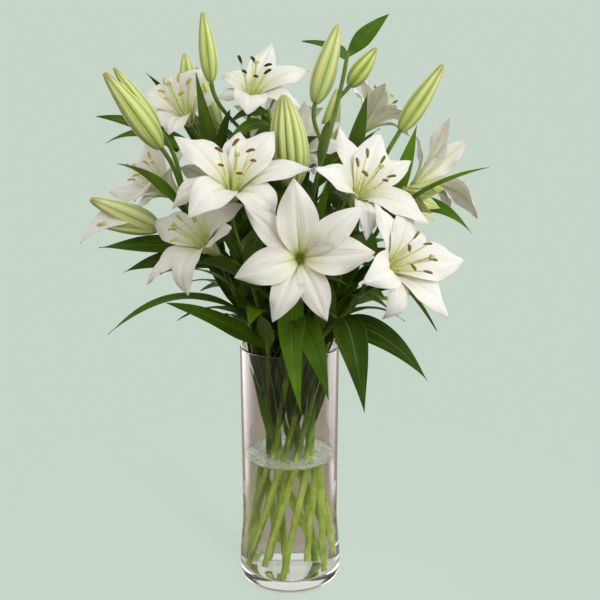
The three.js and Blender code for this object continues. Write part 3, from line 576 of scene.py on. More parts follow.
class Material(Graph):
    """A material's node tree round its one shader."""

    def __init__(self, name):
        self.material = bpy.data.materials.new(name)
        self.material.use_nodes = True
        super().__init__(self.material.node_tree)
        self.shader = self.tree.nodes["Principled BSDF"]

    def set(self, **values):
        """Constant values on the shader's own sockets."""
        for name, value in values.items():
            self.shader.inputs[name.replace("_", " ")].default_value = value

    def paint(self, colour, *layers):
        """The surface's colour, under layers that are each a share, a colour and maybe a blend."""
        for share, *layer in layers:
            colour = self.mix(share, colour, *layer)
        self.feed(self.shader.inputs["Base Color"], colour)

    def attribute(self, name):
        return self.node("ShaderNodeAttribute", attribute_name=name).outputs["Fac"]

    def speckle(self, scale, detail=2.0):
        return self.noise(self.place(), scale, detail)

    def streaks(self, across_scale, along_scale):
        """Noise drawn out along the blade, such as its veins."""
        across = self.times(self.attribute("across"), across_scale)
        along = self.times(self.attribute("along"), along_scale)
        offset = self.times(self.attribute("shade"), 37.0)
        return self.noise(self.combine(across, along, offset), 1.0, 1.0)

    def band(self, across, over, along, run):
        """A band at the midrib that fades over a range across the blade and changes over its run along it."""
        return self.times(self.remap(across, *over), self.remap(along, *run))

    def bump(self, height, strength, distance):
        node = self.node("ShaderNodeBump")
        node.inputs["Strength"].default_value = strength
        node.inputs["Distance"].default_value = distance * MM
        self.feed(node.inputs["Height"], height)
        self.feed(self.shader.inputs["Normal"], node.outputs["Normal"])


def tepal_material(name, base, rib, line, tint_and_shade, tip, tipped):
    """Satin white with a green throat that runs out along the midrib, fine veins, a tinted tip, and random
    patches that vary the tone and on white tepals are a painted warm shade.
    """
    graph = Material(name)
    along, side = graph.attribute("along"), graph.attribute("across")
    across = graph.math("ABSOLUTE", side)
    veins = graph.streaks(15.0, 2.0)
    graph.paint(
        graph.ramp(along, base),
        (graph.band(across, (0.0, 0.15, 1.0, 0.0), along, (0.12, 0.62, 0.95, 0.0)), rib),
        (graph.band(across, (0.0, 0.035, 1.0, 0.0), along, (0.25, 0.9, 0.55, 0.1)), line),
        # Random patches of a second colour: tone that varies, and on the white tepals a pink-beige painted
        # shade.
        (graph.remap(graph.speckle(26.0), 0.42, 0.66, 0.0, 0.55), tint_and_shade),
        (graph.remap(veins, 0.35, 0.65, 0.0, 0.13), "#ddd5c8", "MULTIPLY"),
        (graph.times(graph.attribute("under"), graph.remap(across, 0.0, 0.34, 0.6, 0.0)), "#c9d297"),
        (graph.remap(along, 0.93, 1.0, 0.0, tipped), tip),
    )
    stretch = graph.combine(graph.times(side, 2.0), graph.times(along, 24.0), graph.attribute("shade"))
    wrinkles = graph.times(graph.noise(stretch, 1.0, 1.0), graph.remap(across, 0.35, 0.95, 0.0, 0.4))
    height = graph.math("ADD", veins, wrinkles)
    graph.bump(graph.math("ADD", height, graph.times(graph.speckle(900.0), 0.12)), 0.6, 0.9)
    graph.set(Roughness=0.45, IOR=1.4, Subsurface_Weight=0.4, Subsurface_Scale=0.004, Sheen_Weight=0.08)
    graph.set(Subsurface_Radius=(1.0, 0.95, 0.75))
    return graph.material


def leaf_material():
    """Satin green with fine parallel veins, a paler rib and foot, dark patches and a greyer underside."""
    graph = Material("leaf_green")
    along, across = graph.attribute("along"), graph.math("ABSOLUTE", graph.attribute("across"))
    shades = [(0.0, "#243b02"), (0.35, "#375603"), (0.7, "#4a7004"), (1.0, "#618807")]
    veins = graph.streaks(14.0, 1.6)
    graph.paint(
        graph.ramp(graph.attribute("shade"), shades),
        (graph.remap(veins, 0.38, 0.62, 0.0, 0.4), "#62860f"),
        (graph.band(across, (0.05, 0.2, 0.35, 0.0), along, (0.0, 1.0, 1.0, 0.4)), "#213a01"),
        (graph.band(across, (0.0, 0.07, 1.0, 0.0), along, (0.5, 1.0, 0.7, 0.1)), "#8ba357"),
        (graph.remap(along, 0.0, 0.16, 0.7, 0.0), "#7f9c3a"),
        (graph.remap(graph.speckle(22.0), 0.35, 0.7, 0.0, 0.5), "#1b3001"),
        (graph.times(graph.attribute("under"), 0.45), "#6d893f"),
    )
    graph.feed(graph.shader.inputs["Roughness"], graph.remap(graph.speckle(120.0), 0.3, 0.7, 0.34, 0.52))
    graph.bump(graph.math("ADD", veins, graph.times(graph.speckle(700.0, 1.0), 0.1)), 0.6, 0.7)
    graph.set(IOR=1.36, Specular_IOR_Level=0.36)
    return graph.material


def stem_material():
    """Matt green with fine lines, paler and yellower below the water."""
    graph = Material("stem_green")
    wet, turn, spots = graph.attribute("kind"), graph.attribute("across"), graph.speckle(60.0)
    dry = graph.ramp(spots, [(0.3, "#3f5c18"), (0.7, "#62802a")])
    soaked = graph.ramp(spots, [(0.3, "#93b324"), (0.7, "#d8e67a")])
    round_x = graph.times(graph.math("SINE", turn), 6.0)
    round_y = graph.times(graph.math("COSINE", turn), 6.0)
    lines = graph.noise(graph.combine(round_x, round_y, graph.times(graph.attribute("along"), 4.0)), 1.0)
    lined = graph.mix(wet, "#93ad3c", "#627d1a")
    graph.paint(graph.mix(wet, dry, soaked), (graph.remap(lines, 0.4, 0.65, 0.0, 0.4), lined))
    graph.bump(lines, 0.4, 0.5)
    graph.set(Roughness=0.4, IOR=1.42, Subsurface_Weight=0.1, Subsurface_Scale=0.002)
    return graph.material


def bud_material():
    """Lime green with cream ribs that are partly a painted highlight, dark seams that are painted shade in
    the grooves, and a brownish tip where the bud has one.
    """
    graph = Material("bud_green")
    along, rib, pale = graph.attribute("along"), graph.attribute("kind"), graph.attribute("shade")
    cream_and_highlight = graph.ramp(along, [(0.0, "#a6be52"), (0.3, "#ced87c"), (0.8, "#e1e49e"), (1.0, "#bcc46c")])
    stretch = graph.combine(graph.times(graph.attribute("across"), 7.0), graph.times(along, 2.5), pale)
    lines = graph.noise(stretch, 1.0)
    graph.paint(
        graph.ramp(along, [(0.0, "#6f9226"), (0.35, "#8aac2d"), (0.8, "#9ab436"), (1.0, "#869e34")]),
        # Cream on the ribs: partly the bud's own colour, partly a painted highlight.
        (graph.remap(rib, 0.35, 0.85), cream_and_highlight),
        (pale, "#e9e9c2"),
        # Dark green in the seams: painted shade in the grooves.
        (graph.remap(rib, 0.0, 0.22, 0.85, 0.0), "#587822"),
        (graph.times(graph.remap(along, 0.84, 1.0), graph.attribute("under")), "#94703c"),
        (graph.remap(lines, 0.42, 0.65, 0.0, 0.35), "#d3da94"),
    )
    graph.bump(graph.math("ADD", lines, graph.times(graph.speckle(900.0, 1.0), 0.15)), 0.45, 0.6)
    graph.set(Roughness=0.4, IOR=1.42, Subsurface_Weight=0.1, Subsurface_Scale=0.003)
    return graph.material


def plain_material(name, dark, light, scale, roughness, bump):
    """A matt surface in two shades, such as pollen or a filament."""
    graph = Material(name)
    speck = graph.speckle(scale, 3.0)
    graph.paint(graph.ramp(speck, [(0.35, dark), (0.65, light)]))
    graph.bump(speck, 0.6, bump)
    graph.set(Roughness=roughness)
    return graph.material


def clear_material(name, tint, ior, wave_scale, wave):
    """Glass or water, with slight waves, that lets the lamps' light through to what it holds."""
    graph = Material(name)
    graph.bump(graph.speckle(wave_scale, 1.0), wave, 1.0)
    graph.set(Base_Color=rgb(tint), Roughness=0.0, IOR=ior, Transmission_Weight=1.0)
    passing = graph.fill(graph.node("ShaderNodeBsdfTransparent"), rgb(tint)).outputs[0]
    shadow = graph.node("ShaderNodeLightPath").outputs["Is Shadow Ray"]
    surface = graph.choose(shadow, graph.shader.outputs["BSDF"], passing)
    graph.feed(graph.tree.nodes["Material Output"].inputs["Surface"], surface)
    return graph.material


def froth_and_reflection_material():
    """The water's top: fine specks of froth, over an even milky white on the whole top that is a painted
    reflection.
    """
    graph = Material("water_top")
    specks, drift = graph.speckle(520.0, 3.0), graph.speckle(60.0)
    froth = graph.times(graph.remap(specks, 0.46, 0.62), graph.remap(drift, 0.35, 0.65, 0.35, 1.0))
    # Transmission stays at 0.72 or below, so the whole top is partly white as a painted reflection. The
    # specks go whiter still as froth.
    graph.feed(graph.shader.inputs["Transmission Weight"], graph.remap(froth, 0.0, 1.0, 0.72, 0.1))
    graph.bump(specks, 0.35, 0.6)
    graph.set(Base_Color=rgb("#f4f6f2"), Roughness=0.12, IOR=1.333)
    return graph.material


def bubble_material():
    """A thin film, painted white as a highlight that stands for the bubbles' glints."""
    graph = Material("bubble_film")
    graph.bump(graph.speckle(900.0, 1.0), 0.2, 0.2)
    # The white base colour is a painted highlight: the glints of the bubbles.
    graph.set(Base_Color=rgb("#fbfcfa"), Roughness=0.08, IOR=1.3, Transmission_Weight=0.6)
    return graph.material


WHITE = tepal_material(
    "tepal_white",
    [(0.0, "#93a838"), (0.12, "#c8d673"), (0.26, "#e9ecc0"), (0.45, "#f6f5e8"), (1.0, "#fcfbf7")],
    rib="#c3cf68",
    line="#9aa26a",
    # The pink-beige patch colour is painted warm shade.
    tint_and_shade="#f3eae2",
    tip="#c9b878",
    tipped=0.45,
)
YOUNG = tepal_material(
    "tepal_young",
    [(0.0, "#9fbc3e"), (0.12, "#c0d460"), (0.26, "#dbe594"), (0.45, "#e6edb4"), (1.0, "#cfe070")],
    rib="#b4cb54",
    line="#a3bc40",
    tint_and_shade="#dfe6a8",
    tip="#c98f32",
    tipped=0.9,
)
LEAF_GREEN = leaf_material()
STEM_GREEN = stem_material()
BUD_GREEN = bud_material()
FILAMENT = plain_material("filament", "#c9d36a", "#e4e8ae", 200.0, 0.45, 0.2)
STIGMA = plain_material("stigma", "#a9b560", "#cfd591", 500.0, 0.4, 0.4)
ANTHERS = {
    "brown": plain_material("anther_brown", "#5a3c16", "#a67a36", 1400.0, 0.85, 0.4),
    "olive": plain_material("anther_olive", "#5c5a20", "#8e8838", 1400.0, 0.85, 0.4),
    "dark": plain_material("anther_dark", "#2b1d10", "#57401f", 1400.0, 0.85, 0.4),
    "pale": plain_material("anther_pale", "#b9b455", "#d6d07e", 1400.0, 0.75, 0.4),
}
GLASS = clear_material("clear_glass", "#fafcfc", 1.5, 30.0, 0.02)
WATER = clear_material("clear_water", "#fbfcf9", 1.333, 90.0, 0.02)
WATER_TOP = froth_and_reflection_material()
BUBBLE = bubble_material()


# Stems
def stem_path(ring, slot, foot_height, top, pointing):
    """A stem's line: straight through the bundle up to the tie, and then a curve to its top."""
    slots, reach, twist = BUNDLE[ring]
    angle = -math.pi / 2 + 2 * math.pi * slot / slots
    tie = around(angle, reach, STEM["tie"])
    lowest = around(angle - math.radians(twist), reach, VASE["floor"])
    direction = unit(tie - lowest)
    underside = STEM["radius"] * math.sqrt(1 - direction[2] ** 2)
    foot = lowest + direction * (foot_height + underside - VASE["floor"]) / direction[2]
    end = np.array(top, float)
    third = np.linalg.norm(end - tie) / 3
    straight = foot + np.linspace(0, 1, STRAIGHT + 1)[:-1, None] * (tie - foot)
    bend = [tie, tie + direction * third, end - heading(*pointing) * third, end]
    return np.concatenate([straight, bezier(bend, np.linspace(0, 1, CURVED))])


def place_on(path, height):
    """A stem's middle at a height, and its direction there."""
    above = len(path) - 1
    if path[-1, 2] > height:
        above = min(above, max(1, int(np.argmax(path[:, 2] > height))))
    low, high = path[above - 1], path[above]
    return low + (high - low) * (height - low[2]) / (high[2] - low[2]), unit(high - low)


def stem_shell(path, draw):
    """A stem that narrows above the tie, with faint leaf scars, and its part under water marked."""
    length = np.concatenate([[0], np.cumsum(np.linalg.norm(np.diff(path, axis=0), axis=1))])
    total, tied = length[-1], length[STRAIGHT]
    beyond = np.clip((length - tied) / (total - tied), 0, 1)
    radii = mix(STEM["radius"], STEM["neck"], smooth(beyond, 0.2, 1))
    scar = SCAR["first"] + SCAR["first_varies"] * draw()
    while scar < total:
        radii = radii + SCAR["swell"] * bell(length - scar, SCAR["length"])
        scar += SCAR["apart"] + SCAR["apart_varies"] * draw()
    wet = smooth(-path[:, 2], -WATER_LEVEL - 16, -WATER_LEVEL + 4)
    made = tube(path, radii, SIDES["stem"])
    made["values"]["kind"] = np.concatenate([np.repeat(wet, SIDES["stem"]), wet[[0, -1]]])
    return made


def pedicel_shell(path, start_height, seat, axis):
    """A flower stalk, from its stem to just under the flower's seat."""
    start, leaving = place_on(path, start_height)
    end = seat - axis * CLEAR
    length = np.linalg.norm(end - start)
    first = start + leaving * length * PEDICEL["leaving"]
    second = end - axis * length * PEDICEL["arriving"]
    points = POINTS["pedicel"]
    curve = bezier([start, first, second, end], np.linspace(0, 1, points))
    return tube(curve, np.linspace(*PEDICEL["radius"], points), SIDES["pedicel"])


# Leaves
def leaf_width(t):
    rising = mix(LEAF["base"], 1, np.sin((math.pi / 2) * np.minimum(t / LEAF["widest"], 1)))
    beyond = np.clip((t - LEAF["widest"]) / (1 - LEAF["widest"]), 0, 1)
    return np.where(t < LEAF["widest"], rising, (1 - beyond**1.7) ** 1.15)


def leaf_surface(base, tip, rise, sway, width, roll, draw):
    """A bowed blade with a rounded fold at its rib, a slight twist and wavy edges."""
    base, tip = np.asarray(base, float), np.asarray(tip, float)
    outward = unit((tip - base) * (1, 1, 0))
    bow = (base + tip) / 2 + UP * rise + np.cross(outward, UP) * sway
    twist = LEAF_WAVE["twist"] * (draw() - 0.5)
    wave = LEAF_WAVE["least"] + LEAF_WAVE["varies"] * draw()
    start = 6 * draw()

    def surface(t, s):
        spine = bezier([base, bow, tip], t)
        direction = unit(2 * ((bow - base) * (1 - t)[..., None] + (tip - bow) * t[..., None]))
        level = np.einsum("...k,k->...", direction, outward)
        up = -direction[..., 2:] * outward + level[..., None] * UP
        up = unit(up - direction * np.einsum("...k,...k->...", up, direction)[..., None])
        side = np.cross(up, direction)
        angle = np.radians(roll + twist * t)[..., None]
        up, side = up * np.cos(angle) - side * np.sin(angle), side * np.cos(angle) + up * np.sin(angle)
        half = width / 2 * leaf_width(t)
        round_fold = np.sqrt(s * s + FOLD_ROUNDING) - math.sqrt(FOLD_ROUNDING)
        lift = LEAF["fold"] * round_fold * half * (1 - 0.35 * s * s)
        lift = lift + wave * np.sin(9 * t + start + 1.3 * s) * s * s * smooth(t, 0.15, 0.4)
        return spine + side * (s * half)[..., None] + up * lift[..., None]

    return surface


def leaf_shell(path, height, tip, rise, sway, width, roll, draw):
    surface = leaf_surface(place_on(path, height)[0], tip, rise, sway, width, roll, draw)
    return blade(surface, LEAF_ROWS, LEAF_COLS, "leaf", shade=draw(), slot=1)


def collar_leaf(path, slot, i):
    """The measures of one leaf of the collar, from its stem's slot and its place up the stem."""
    height = min(path[-1, 2] - 10, COLLAR["lowest"] + COLLAR["step"] * i + 9 * (slot % 3))
    point = place_on(path, height)[0]
    turn = math.atan2(point[1], point[0]) + math.radians(COLLAR["fan"] * ((slot + i) % 3 - 1))
    length = COLLAR["length"] * (0.74 + 0.12 * i) * (1 + 0.1 * ((slot * 2 + i) % 3))
    tip = point + around(turn, length, COLLAR["drop"][i])
    return height, tip, COLLAR["bow"], 0, COLLAR["width"] - 2 * i, 20 * ((slot + 2 * i) % 3 - 1)


# Tepals
def tepal_width(t):
    rising = mix(TEPAL["claw"], 1, np.sin((math.pi / 2) * np.minimum(t / TEPAL["widest"], 1)) ** 2)
    beyond = np.clip((t - TEPAL["widest"]) / (1 - TEPAL["widest"]), 0, 1)
    return np.where(t < TEPAL["widest"], rising, 1 - beyond**1.9)


def tepal_surface(azimuth, length, width, spread, curl, layer, wave):
    """A tepal that leans out of the throat, opens and curls back, with a raised midrib and ruffled edges."""
    radial = around(math.radians(azimuth))
    across = np.cross(UP, radial)
    steps = POINTS["tepal"]
    size, pace, start = wave
    lean = TEPAL["lean"]

    def angle_at(t):
        return np.radians(lean + (spread - lean) * smooth(t, *OPENS) + curl * smooth(t, *CURLS))

    middles = angle_at((np.arange(steps) + 0.5) / steps)
    outs = np.concatenate([[0], np.cumsum(np.sin(middles))]) * length / steps + 2.6 + 1.5 * layer
    ups = np.concatenate([[0], np.cumsum(np.cos(middles))]) * length / steps + 1.4 - 0.7 * layer
    knots = np.linspace(0, 1, steps + 1)

    def surface(t, s):
        out, up, angle = np.interp(t, knots, outs), np.interp(t, knots, ups), angle_at(t)
        half = width / 2 * tepal_width(t)
        trumpet = np.maximum(0, half * np.cos(angle) / out) * (1 - smooth(t, 0.5, 0.8))
        bend = trumpet + CURLED_BACK * smooth(t, *CURLS) + 1e-3
        grown = smooth(t, 0.35, 0.6) * (1 - smooth(t, 0.85, 1))
        ruffle = size * np.sin(pace * t + start + s) * np.abs(s) ** 2.5
        folds = np.sin(RUFFLE["crimp_pace"] * pace * t + 2 * start + 2 * s)
        crimp = RUFFLE["crimp"] * size * folds * np.abs(s) ** 4
        channel = CHANNEL["depth"] * bell(np.abs(s) - CHANNEL["beside"], CHANNEL["width"])
        ridge = MIDRIB["height"] * bell(s, MIDRIB["width"]) - channel
        rib = ridge * (1 - 0.7 * t) * smooth(t, 0.05, 0.25) * (1 - smooth(t, 0.8, 1))
        lift = (1 - np.cos(bend * s)) / bend * half + (ruffle + crimp) * grown - rib
        reach = np.sin(bend * s) / bend * half
        facing = -np.cos(angle)[..., None] * radial + np.sin(angle)[..., None] * UP
        middle = up[..., None] * UP + out[..., None] * radial
        return middle + reach[..., None] * across + lift[..., None] * facing

    return surface


def tepals_of(name, facing, turn, length, spread, curl, draw):
    """A bloom's listed tepals, or six by the rule, three wide ones inside three narrow ones."""
    if name in TEPALS:
        return TEPALS[name]
    opened = 1 if spread > OPEN else 0
    made = []
    for i in range(6):
        layer = i % 2
        azimuth = turn + 60 * i + (draw() - 0.5) * 10
        hang = -math.sin(math.radians(azimuth)) * math.cos(math.radians(facing[1]))
        wide = spread + opened * (7 * hang + 7 * layer + 3 * draw())
        roll = curl + opened * (14 * hang + 14 * draw())
        width = length * (TEPAL["outer"] if layer else TEPAL["inner"])
        made.append((azimuth, length * (0.97 + 0.06 * draw()), width, wide, roll, layer))
    return made


def bloom_frame(throat, facing):
    """Right, upper and forward directions of a bloom, and its seat."""
    axis = heading(*facing)
    right = unit(np.cross(UP, axis))
    return np.stack([right, np.cross(axis, right), axis]), np.array(throat) - axis * SEAT["depth"]


def turned(shells, throat, facing):
    """Shells made upright round the axis, moved to a bloom's seat and turned as it faces."""
    axes, seat = bloom_frame(throat, facing)
    for made in shells:
        made["points"] = seat + made["points"] @ axes
    return shells


def bloom_shells(bloom, seed):
    """The small cup that carries the tepals, and the tepals."""
    name, _, _, throat, facing, turn, length, spread, curl, _ = bloom
    draw = draws(seed)
    opened = 1 if spread > OPEN else 0
    radius, flare, height = SEAT["radius"], SEAT["flare"], SEAT["height"]
    cup = rounded([(0, 0), (radius, 0), (flare, height), (0, height)], [0, 1.2, 1.2, 0])
    shells = [lathe(cup, SIDES["cup"], across=1.0)]
    for tepal in tepals_of(name, facing, turn, length, spread, curl, draw):
        size = opened * (RUFFLE["least"] + draw())
        wave = (size, RUFFLE["pace"] + RUFFLE["varies"] * draw(), 6 * draw())
        shade = draws(seed * SEED["tepals"] + len(shells))()
        shells.append(blade(tepal_surface(*tepal, wave), TEPAL_ROWS, TEPAL_COLS, "tepal", shade=shade))
    return turned(shells, throat, facing)


def stamen_shells(bloom, seed):
    """Filaments with anthers that swing across their ends, and a pistil with a three-lobed head."""
    _, _, _, throat, facing, _, length, _, _, _ = bloom
    draw = draws(seed + SEED["stamens"])
    scale = length / 92
    foot = SEAT["height"] + CLEAR
    disc = rounded([(0, foot), (2.3, foot), (1.9, foot + 2), (0, foot + 2)], [0, 0.5, 0.5, 0])
    shells = [lathe(disc, SIDES["disc"])]
    points = POINTS["filament"]
    steps = np.linspace(0, 1, points)
    middle = UP * (foot + 0.8)
    for i in range(STAMEN["count"]):
        azimuth = 2 * math.pi * (i + 0.5) / STAMEN["count"] + (draw() - 0.5) * 0.3
        size = STAMEN["length"] * scale * (0.94 + 0.1 * draw())
        lean = math.radians(STAMEN["lean"] + STAMEN["lean_varies"] * draw())
        nod = STAMEN["nod"] * (draw() - 0.5)
        radial = around(azimuth)
        rise = radial * math.sin(lean) + UP * math.cos(lean)
        start = middle + radial * 1.4
        end = start + rise * size
        bend = start + rise * size * 0.55 - radial * 2.5
        filament = bezier([start, bend, end], steps)
        shells.append(tube(filament, np.linspace(*FILAMENT_RADII, points), SIDES["filament"]))
        swing = unit(rise * 0.55 + np.cross(UP, radial) * nod + radial * 0.5)
        share = np.linspace(-1, 1, POINTS["anther"])
        line = end + swing * (share * ANTHER["half"])[:, None] + rise * (1.2 - 1.6 * share**2)[:, None]
        radii = ANTHER["radius"] * np.sqrt(np.maximum(1 - share**2, 0.02))
        shells.append(tube(line, radii, SIDES["anther"], flatten=ANTHER["flat"], slot=1))
    tilt = math.radians(STYLE["tilt"])
    down = np.array([0, -1.0, 0])
    style = unit(down * math.sin(tilt) + UP * math.cos(tilt))
    reach = STYLE["length"] * scale
    end = middle + style * reach
    bend = middle + style * reach * 0.5 + down
    pistil = bezier([middle, bend, end], steps)
    shells.append(tube(pistil, np.linspace(*PISTIL["radii"], points), SIDES["anther"]))
    share = np.linspace(-1, 1, POINTS["lobe"])
    radii = PISTIL["lobe"] * np.sqrt(np.maximum(1 - share**2, 0.04))
    for k in range(3):
        lobe = around(2 * math.pi * k / 3)
        line = end + lobe * (1.5 + 0.6 * share)[:, None] + style * (1.2 + 2.0 * share)[:, None]
        shells.append(tube(line, radii, SIDES["anther"], slot=2))
    return turned(shells, throat, facing)


# Buds
def bud_width(t, taper):
    return 0.16 + 0.84 * np.maximum(np.sin(math.pi * t**0.82), 0) ** 0.72 * (1 - taper * t)


def bud_shells(base, tip, radius, taper, pale, brown, folds, depth):
    """A closed bud: three outer tepals with raised ribs, and the edges of three inner ones between them."""
    base, tip = np.array(base, float), np.array(tip, float)
    axis = unit(tip - base)
    length = np.linalg.norm(tip - base)
    side = unit(np.cross((0, 1, 0), axis))
    other = np.cross(axis, side)
    t, sides = BUD_ROWS, SIDES["bud"]
    turn = turns(sides) + math.pi / 6
    major = np.abs(np.cos(folds / 2 * turn))
    minor = np.abs(np.sin(folds / 2 * turn))
    seam = bell(major - minor, BUD["seam"])
    rib = np.maximum(bell(minor, BUD["rib"]), BUD["lesser"] * bell(major, BUD["lesser_rib"]))
    shape = 0.93 + 0.05 * major**4 + 0.06 * rib - depth * seam
    # How rib-like each point round the bud is: the bud material paints cream on the ribs, partly as a painted
    # highlight, and dark green in the seams as painted shade.
    kind = np.clip(0.5 * (1 - seam) + 0.5 * rib, 0, 1)
    fade = smooth(t, 0.02, 0.2) * (1 - 0.4 * smooth(t, 0.85, 1))
    swirl = turn[None, :] + BUD["swirl"] * t[:, None]
    reach = radius * bud_width(t, taper)[:, None] * (1 + (shape[None, :] - 0.97) * fade[:, None])
    centre = base + (t * length)[:, None, None] * axis
    points = centre + (reach * np.cos(swirl))[..., None] * side + (reach * np.sin(swirl))[..., None] * other
    return [
        shell(
            np.concatenate([points.reshape(-1, 3), [base], [tip + axis * 0.8]]),
            *ring_faces(len(t), sides),
            along=np.concatenate([np.repeat(t, sides), [0, 1]]),
            across=np.concatenate([np.tile(turn, len(t)), [0, 0]]),
            kind=np.concatenate([np.tile(kind, len(t)), [0.5, 0.5]]),
            shade=pale,
            under=brown,
        )
    ]


# Make the plant pieces
paths = {name: stem_path(*shape) for name, *shape in STEMS}
greens = {name: [stem_shell(paths[name], draws(i + SEED["stems"]))] for i, (name, *_) in enumerate(STEMS)}

for i, bloom in enumerate(BLOOMS, 1):
    name, stem, start_height, throat, facing, _, _, spread, _, anthers = bloom
    slot, material = ("tepals", WHITE) if spread > OPEN else ("young_tepals", YOUNG)
    make_piece(name + "_petals", name, [material], bloom_shells(bloom, i))
    if anthers:
        materials = [FILAMENT, ANTHERS[anthers], STIGMA]
        make_piece(name + "_centre", name + "_stamens", materials, stamen_shells(bloom, i))
    seat = bloom_frame(throat, facing)[1]
    greens[stem].append(pedicel_shell(paths[stem], start_height, seat, heading(*facing)))

for name, stem, start_height, base, tip, *shape in BUDS:
    shells = bud_shells(base, tip, *shape, *FOLDS.get(name, PLAIN_FOLDS))
    materials = [BUD_GREEN]
    if name == "bud_opening":
        shells += bud_shells(*OPENING_LOBE, 0.2, 0.4, *PLAIN_FOLDS)
        loose = leaf_surface(*LOOSE_TEPAL, draws(SEED["loose"]))
        shells.append(blade(loose, LEAF_ROWS, LEAF_COLS, "loose", slot=1))
        materials.append(WHITE)
    make_piece(name + "_closed", name, materials, shells)
    seat = np.array(base, float)
    greens[stem].append(pedicel_shell(paths[stem], start_height, seat, unit(np.subtract(tip, base))))

leaf_draw = draws(SEED["leaves"])
for stem, *shape in LEAVES:
    greens[stem].append(leaf_shell(paths[stem], *shape, leaf_draw))

for name, ring, slot, *_ in STEMS:
    places = [i for i in range(3) if ring == "outer" and "%d-%d" % (slot, i) not in COLLAR_GAPS]
    for i in places:
        greens[name].append(leaf_shell(paths[name], *collar_leaf(paths[name], slot, i), leaf_draw))

for name, shells in greens.items():
    make_piece(name + "_leafy", name, [STEM_GREEN, LEAF_GREEN], shells)


# Small leaves all the way up each stem, which fill the shade in the middle and take only the darker leaf
# greens as painted shade. One that would touch a flower or a bud is left off.
def crowd_of(endings):
    """All the points of the pieces whose names end so."""
    found = [o.data.vertices for o in bpy.data.objects if o.name.endswith(endings)]
    tree = KDTree(sum(len(points) for points in found))
    for i, point in enumerate(point for points in found for point in points):
        tree.insert(point.co, i)
    tree.balance()
    return tree


def small_leaf(base, turn, draw):
    """A small leaf, steeper and longer inside the vase, coloured from the darker half of the leaf greens as
    painted shade.
    """
    inside = base[2] < VASE["height"] - 20
    rise = SMALL_RISE["inside"] if inside else SMALL_RISE["least"] + SMALL_RISE["varies"] * draw()
    length = mix(*SMALL["length"], draw()) * (1.2 if inside else 1)
    width = mix(*SMALL["width"], draw())
    roll = 45 * math.sin(math.radians(turn)) + 40 * (draw() - 0.5)
    surface = leaf_surface(base, base + heading(turn, rise) * length, 8 + 10 * draw(), 0, width, roll, draw)
    # shade=0.5 * draw() keeps to the darker greens: painted shade.
    return blade(surface, SMALL_ROWS, SMALL_COLS, "small", shade=0.5 * draw())


def fits(points, flowers):
    """Whether a small leaf stays within the bouquet and the vase and clear of the flowers."""
    reach = np.hypot(points[:, 0], points[:, 1])
    low = points[:, 2] < VASE["height"] + 4
    inside = VASE["rim"] - VASE["wall"] - 1
    if reach.max() >= SMALL_ROOM["reach"] or (low.any() and reach[low].max() >= inside):
        return False
    return all(flowers.find(point * MM)[2] > SMALL_ROOM["clear"] * MM for point in points[::3])


flowers = crowd_of(("_petals", "_closed", "_centre"))
small_draw = draws(SEED["small"])
for name, path in paths.items():
    small = []
    height, turn = SMALL["lowest"] + 8 * small_draw(), 360 * small_draw()
    while height < min(path[-1, 2] - 12, SMALL["highest"]):
        made = small_leaf(place_on(path, height)[0], turn, small_draw)
        if fits(made["points"], flowers):
            small.append(made)
        height += SMALL["step"] * (0.8 + 0.4 * small_draw())
        turn += GOLDEN_ANGLE
    if small:
        make_piece(name + "_small_leaves", None, [LEAF_GREEN], small)


# Vase and water
def vase_profile():
    rim, waist, foot, wall = VASE["rim"], VASE["waist"], VASE["foot"], VASE["wall"]
    height, floor, corner = VASE["height"], VASE["floor"], VASE["corner"]
    underside = [(0, UNDERSIDE["hollow"]), (foot - UNDERSIDE["ring"], 0), (foot, 0)]
    outer = [(foot, FLARE[0]), (waist, FLARE[1]), (rim, height)]
    inner = [(rim - wall, height), (waist - wall, FLARE[1]), (waist - wall, floor), (0, floor)]
    radii = [0, 6, corner * 1.6, 18, 18, wall * 0.48, wall * 0.48, 9, corner * 1.3, 0]
    return rounded(underside + outer + inner, radii, 8)


def water_profile():
    """The water's outline, which sinks slightly into the glass and climbs it at the water's edge."""
    overlap = 0.25
    reach = VASE["waist"] - VASE["wall"] + overlap
    bottom = [(0, VASE["floor"] - overlap), (reach, VASE["floor"] - overlap)]
    edge = [(reach, WATER_LEVEL + 1.8), (reach - 1.2, WATER_LEVEL + 0.5), (reach - 3.2, WATER_LEVEL)]
    return rounded([*bottom, *edge, (0, WATER_LEVEL)], [0, VASE["corner"] * 1.3, 0, 0, 0, 0], 8)


def bubble_shells():
    """Small bubbles that float on the water, more of them at its edge and none in the stems."""
    random = np.random.default_rng(SEED["bubbles"])
    ball = lathe([(0, -1), (0.5, -0.87), (0.87, -0.5), (1, 0), (0.87, 0.5), (0.5, 0.87), (0, 1)], 8)
    stems = np.array([place_on(path, WATER_LEVEL)[0][:2] for path in paths.values()])
    made = []
    for _ in range(BUBBLES["count"]):
        radius = mix(BUBBLES["small"], BUBBLES["large"], random.random() ** 3)
        angle = 2 * math.pi * random.random()
        at_edge = random.random() < BUBBLES["at_edge"]
        share = 1 - 0.015 * random.random() if at_edge else math.sqrt(random.random())
        far = (VASE["waist"] - VASE["wall"] - radius - 0.3) * share
        place = around(angle, far, WATER_LEVEL + 0.1 * radius)
        if np.min(np.linalg.norm(stems - place[:2], axis=1)) < STEM["radius"] + radius + BUBBLES["gap"]:
            continue
        made.append({**ball, "points": ball["points"] * radius + place})
    return made


make_piece("vase_glass", "vase", [GLASS], [lathe(steadied(vase_profile()), VASE_SIDES)])
water = lathe(steadied(water_profile()), VASE_SIDES)
water["slots"][0][-3 * VASE_SIDES :] = 1
water["slots"][1][-VASE_SIDES:] = 1
make_piece("water_body", "water", [WATER, WATER_TOP], [water])
make_piece("water_bubbles", None, [BUBBLE], bubble_shells())

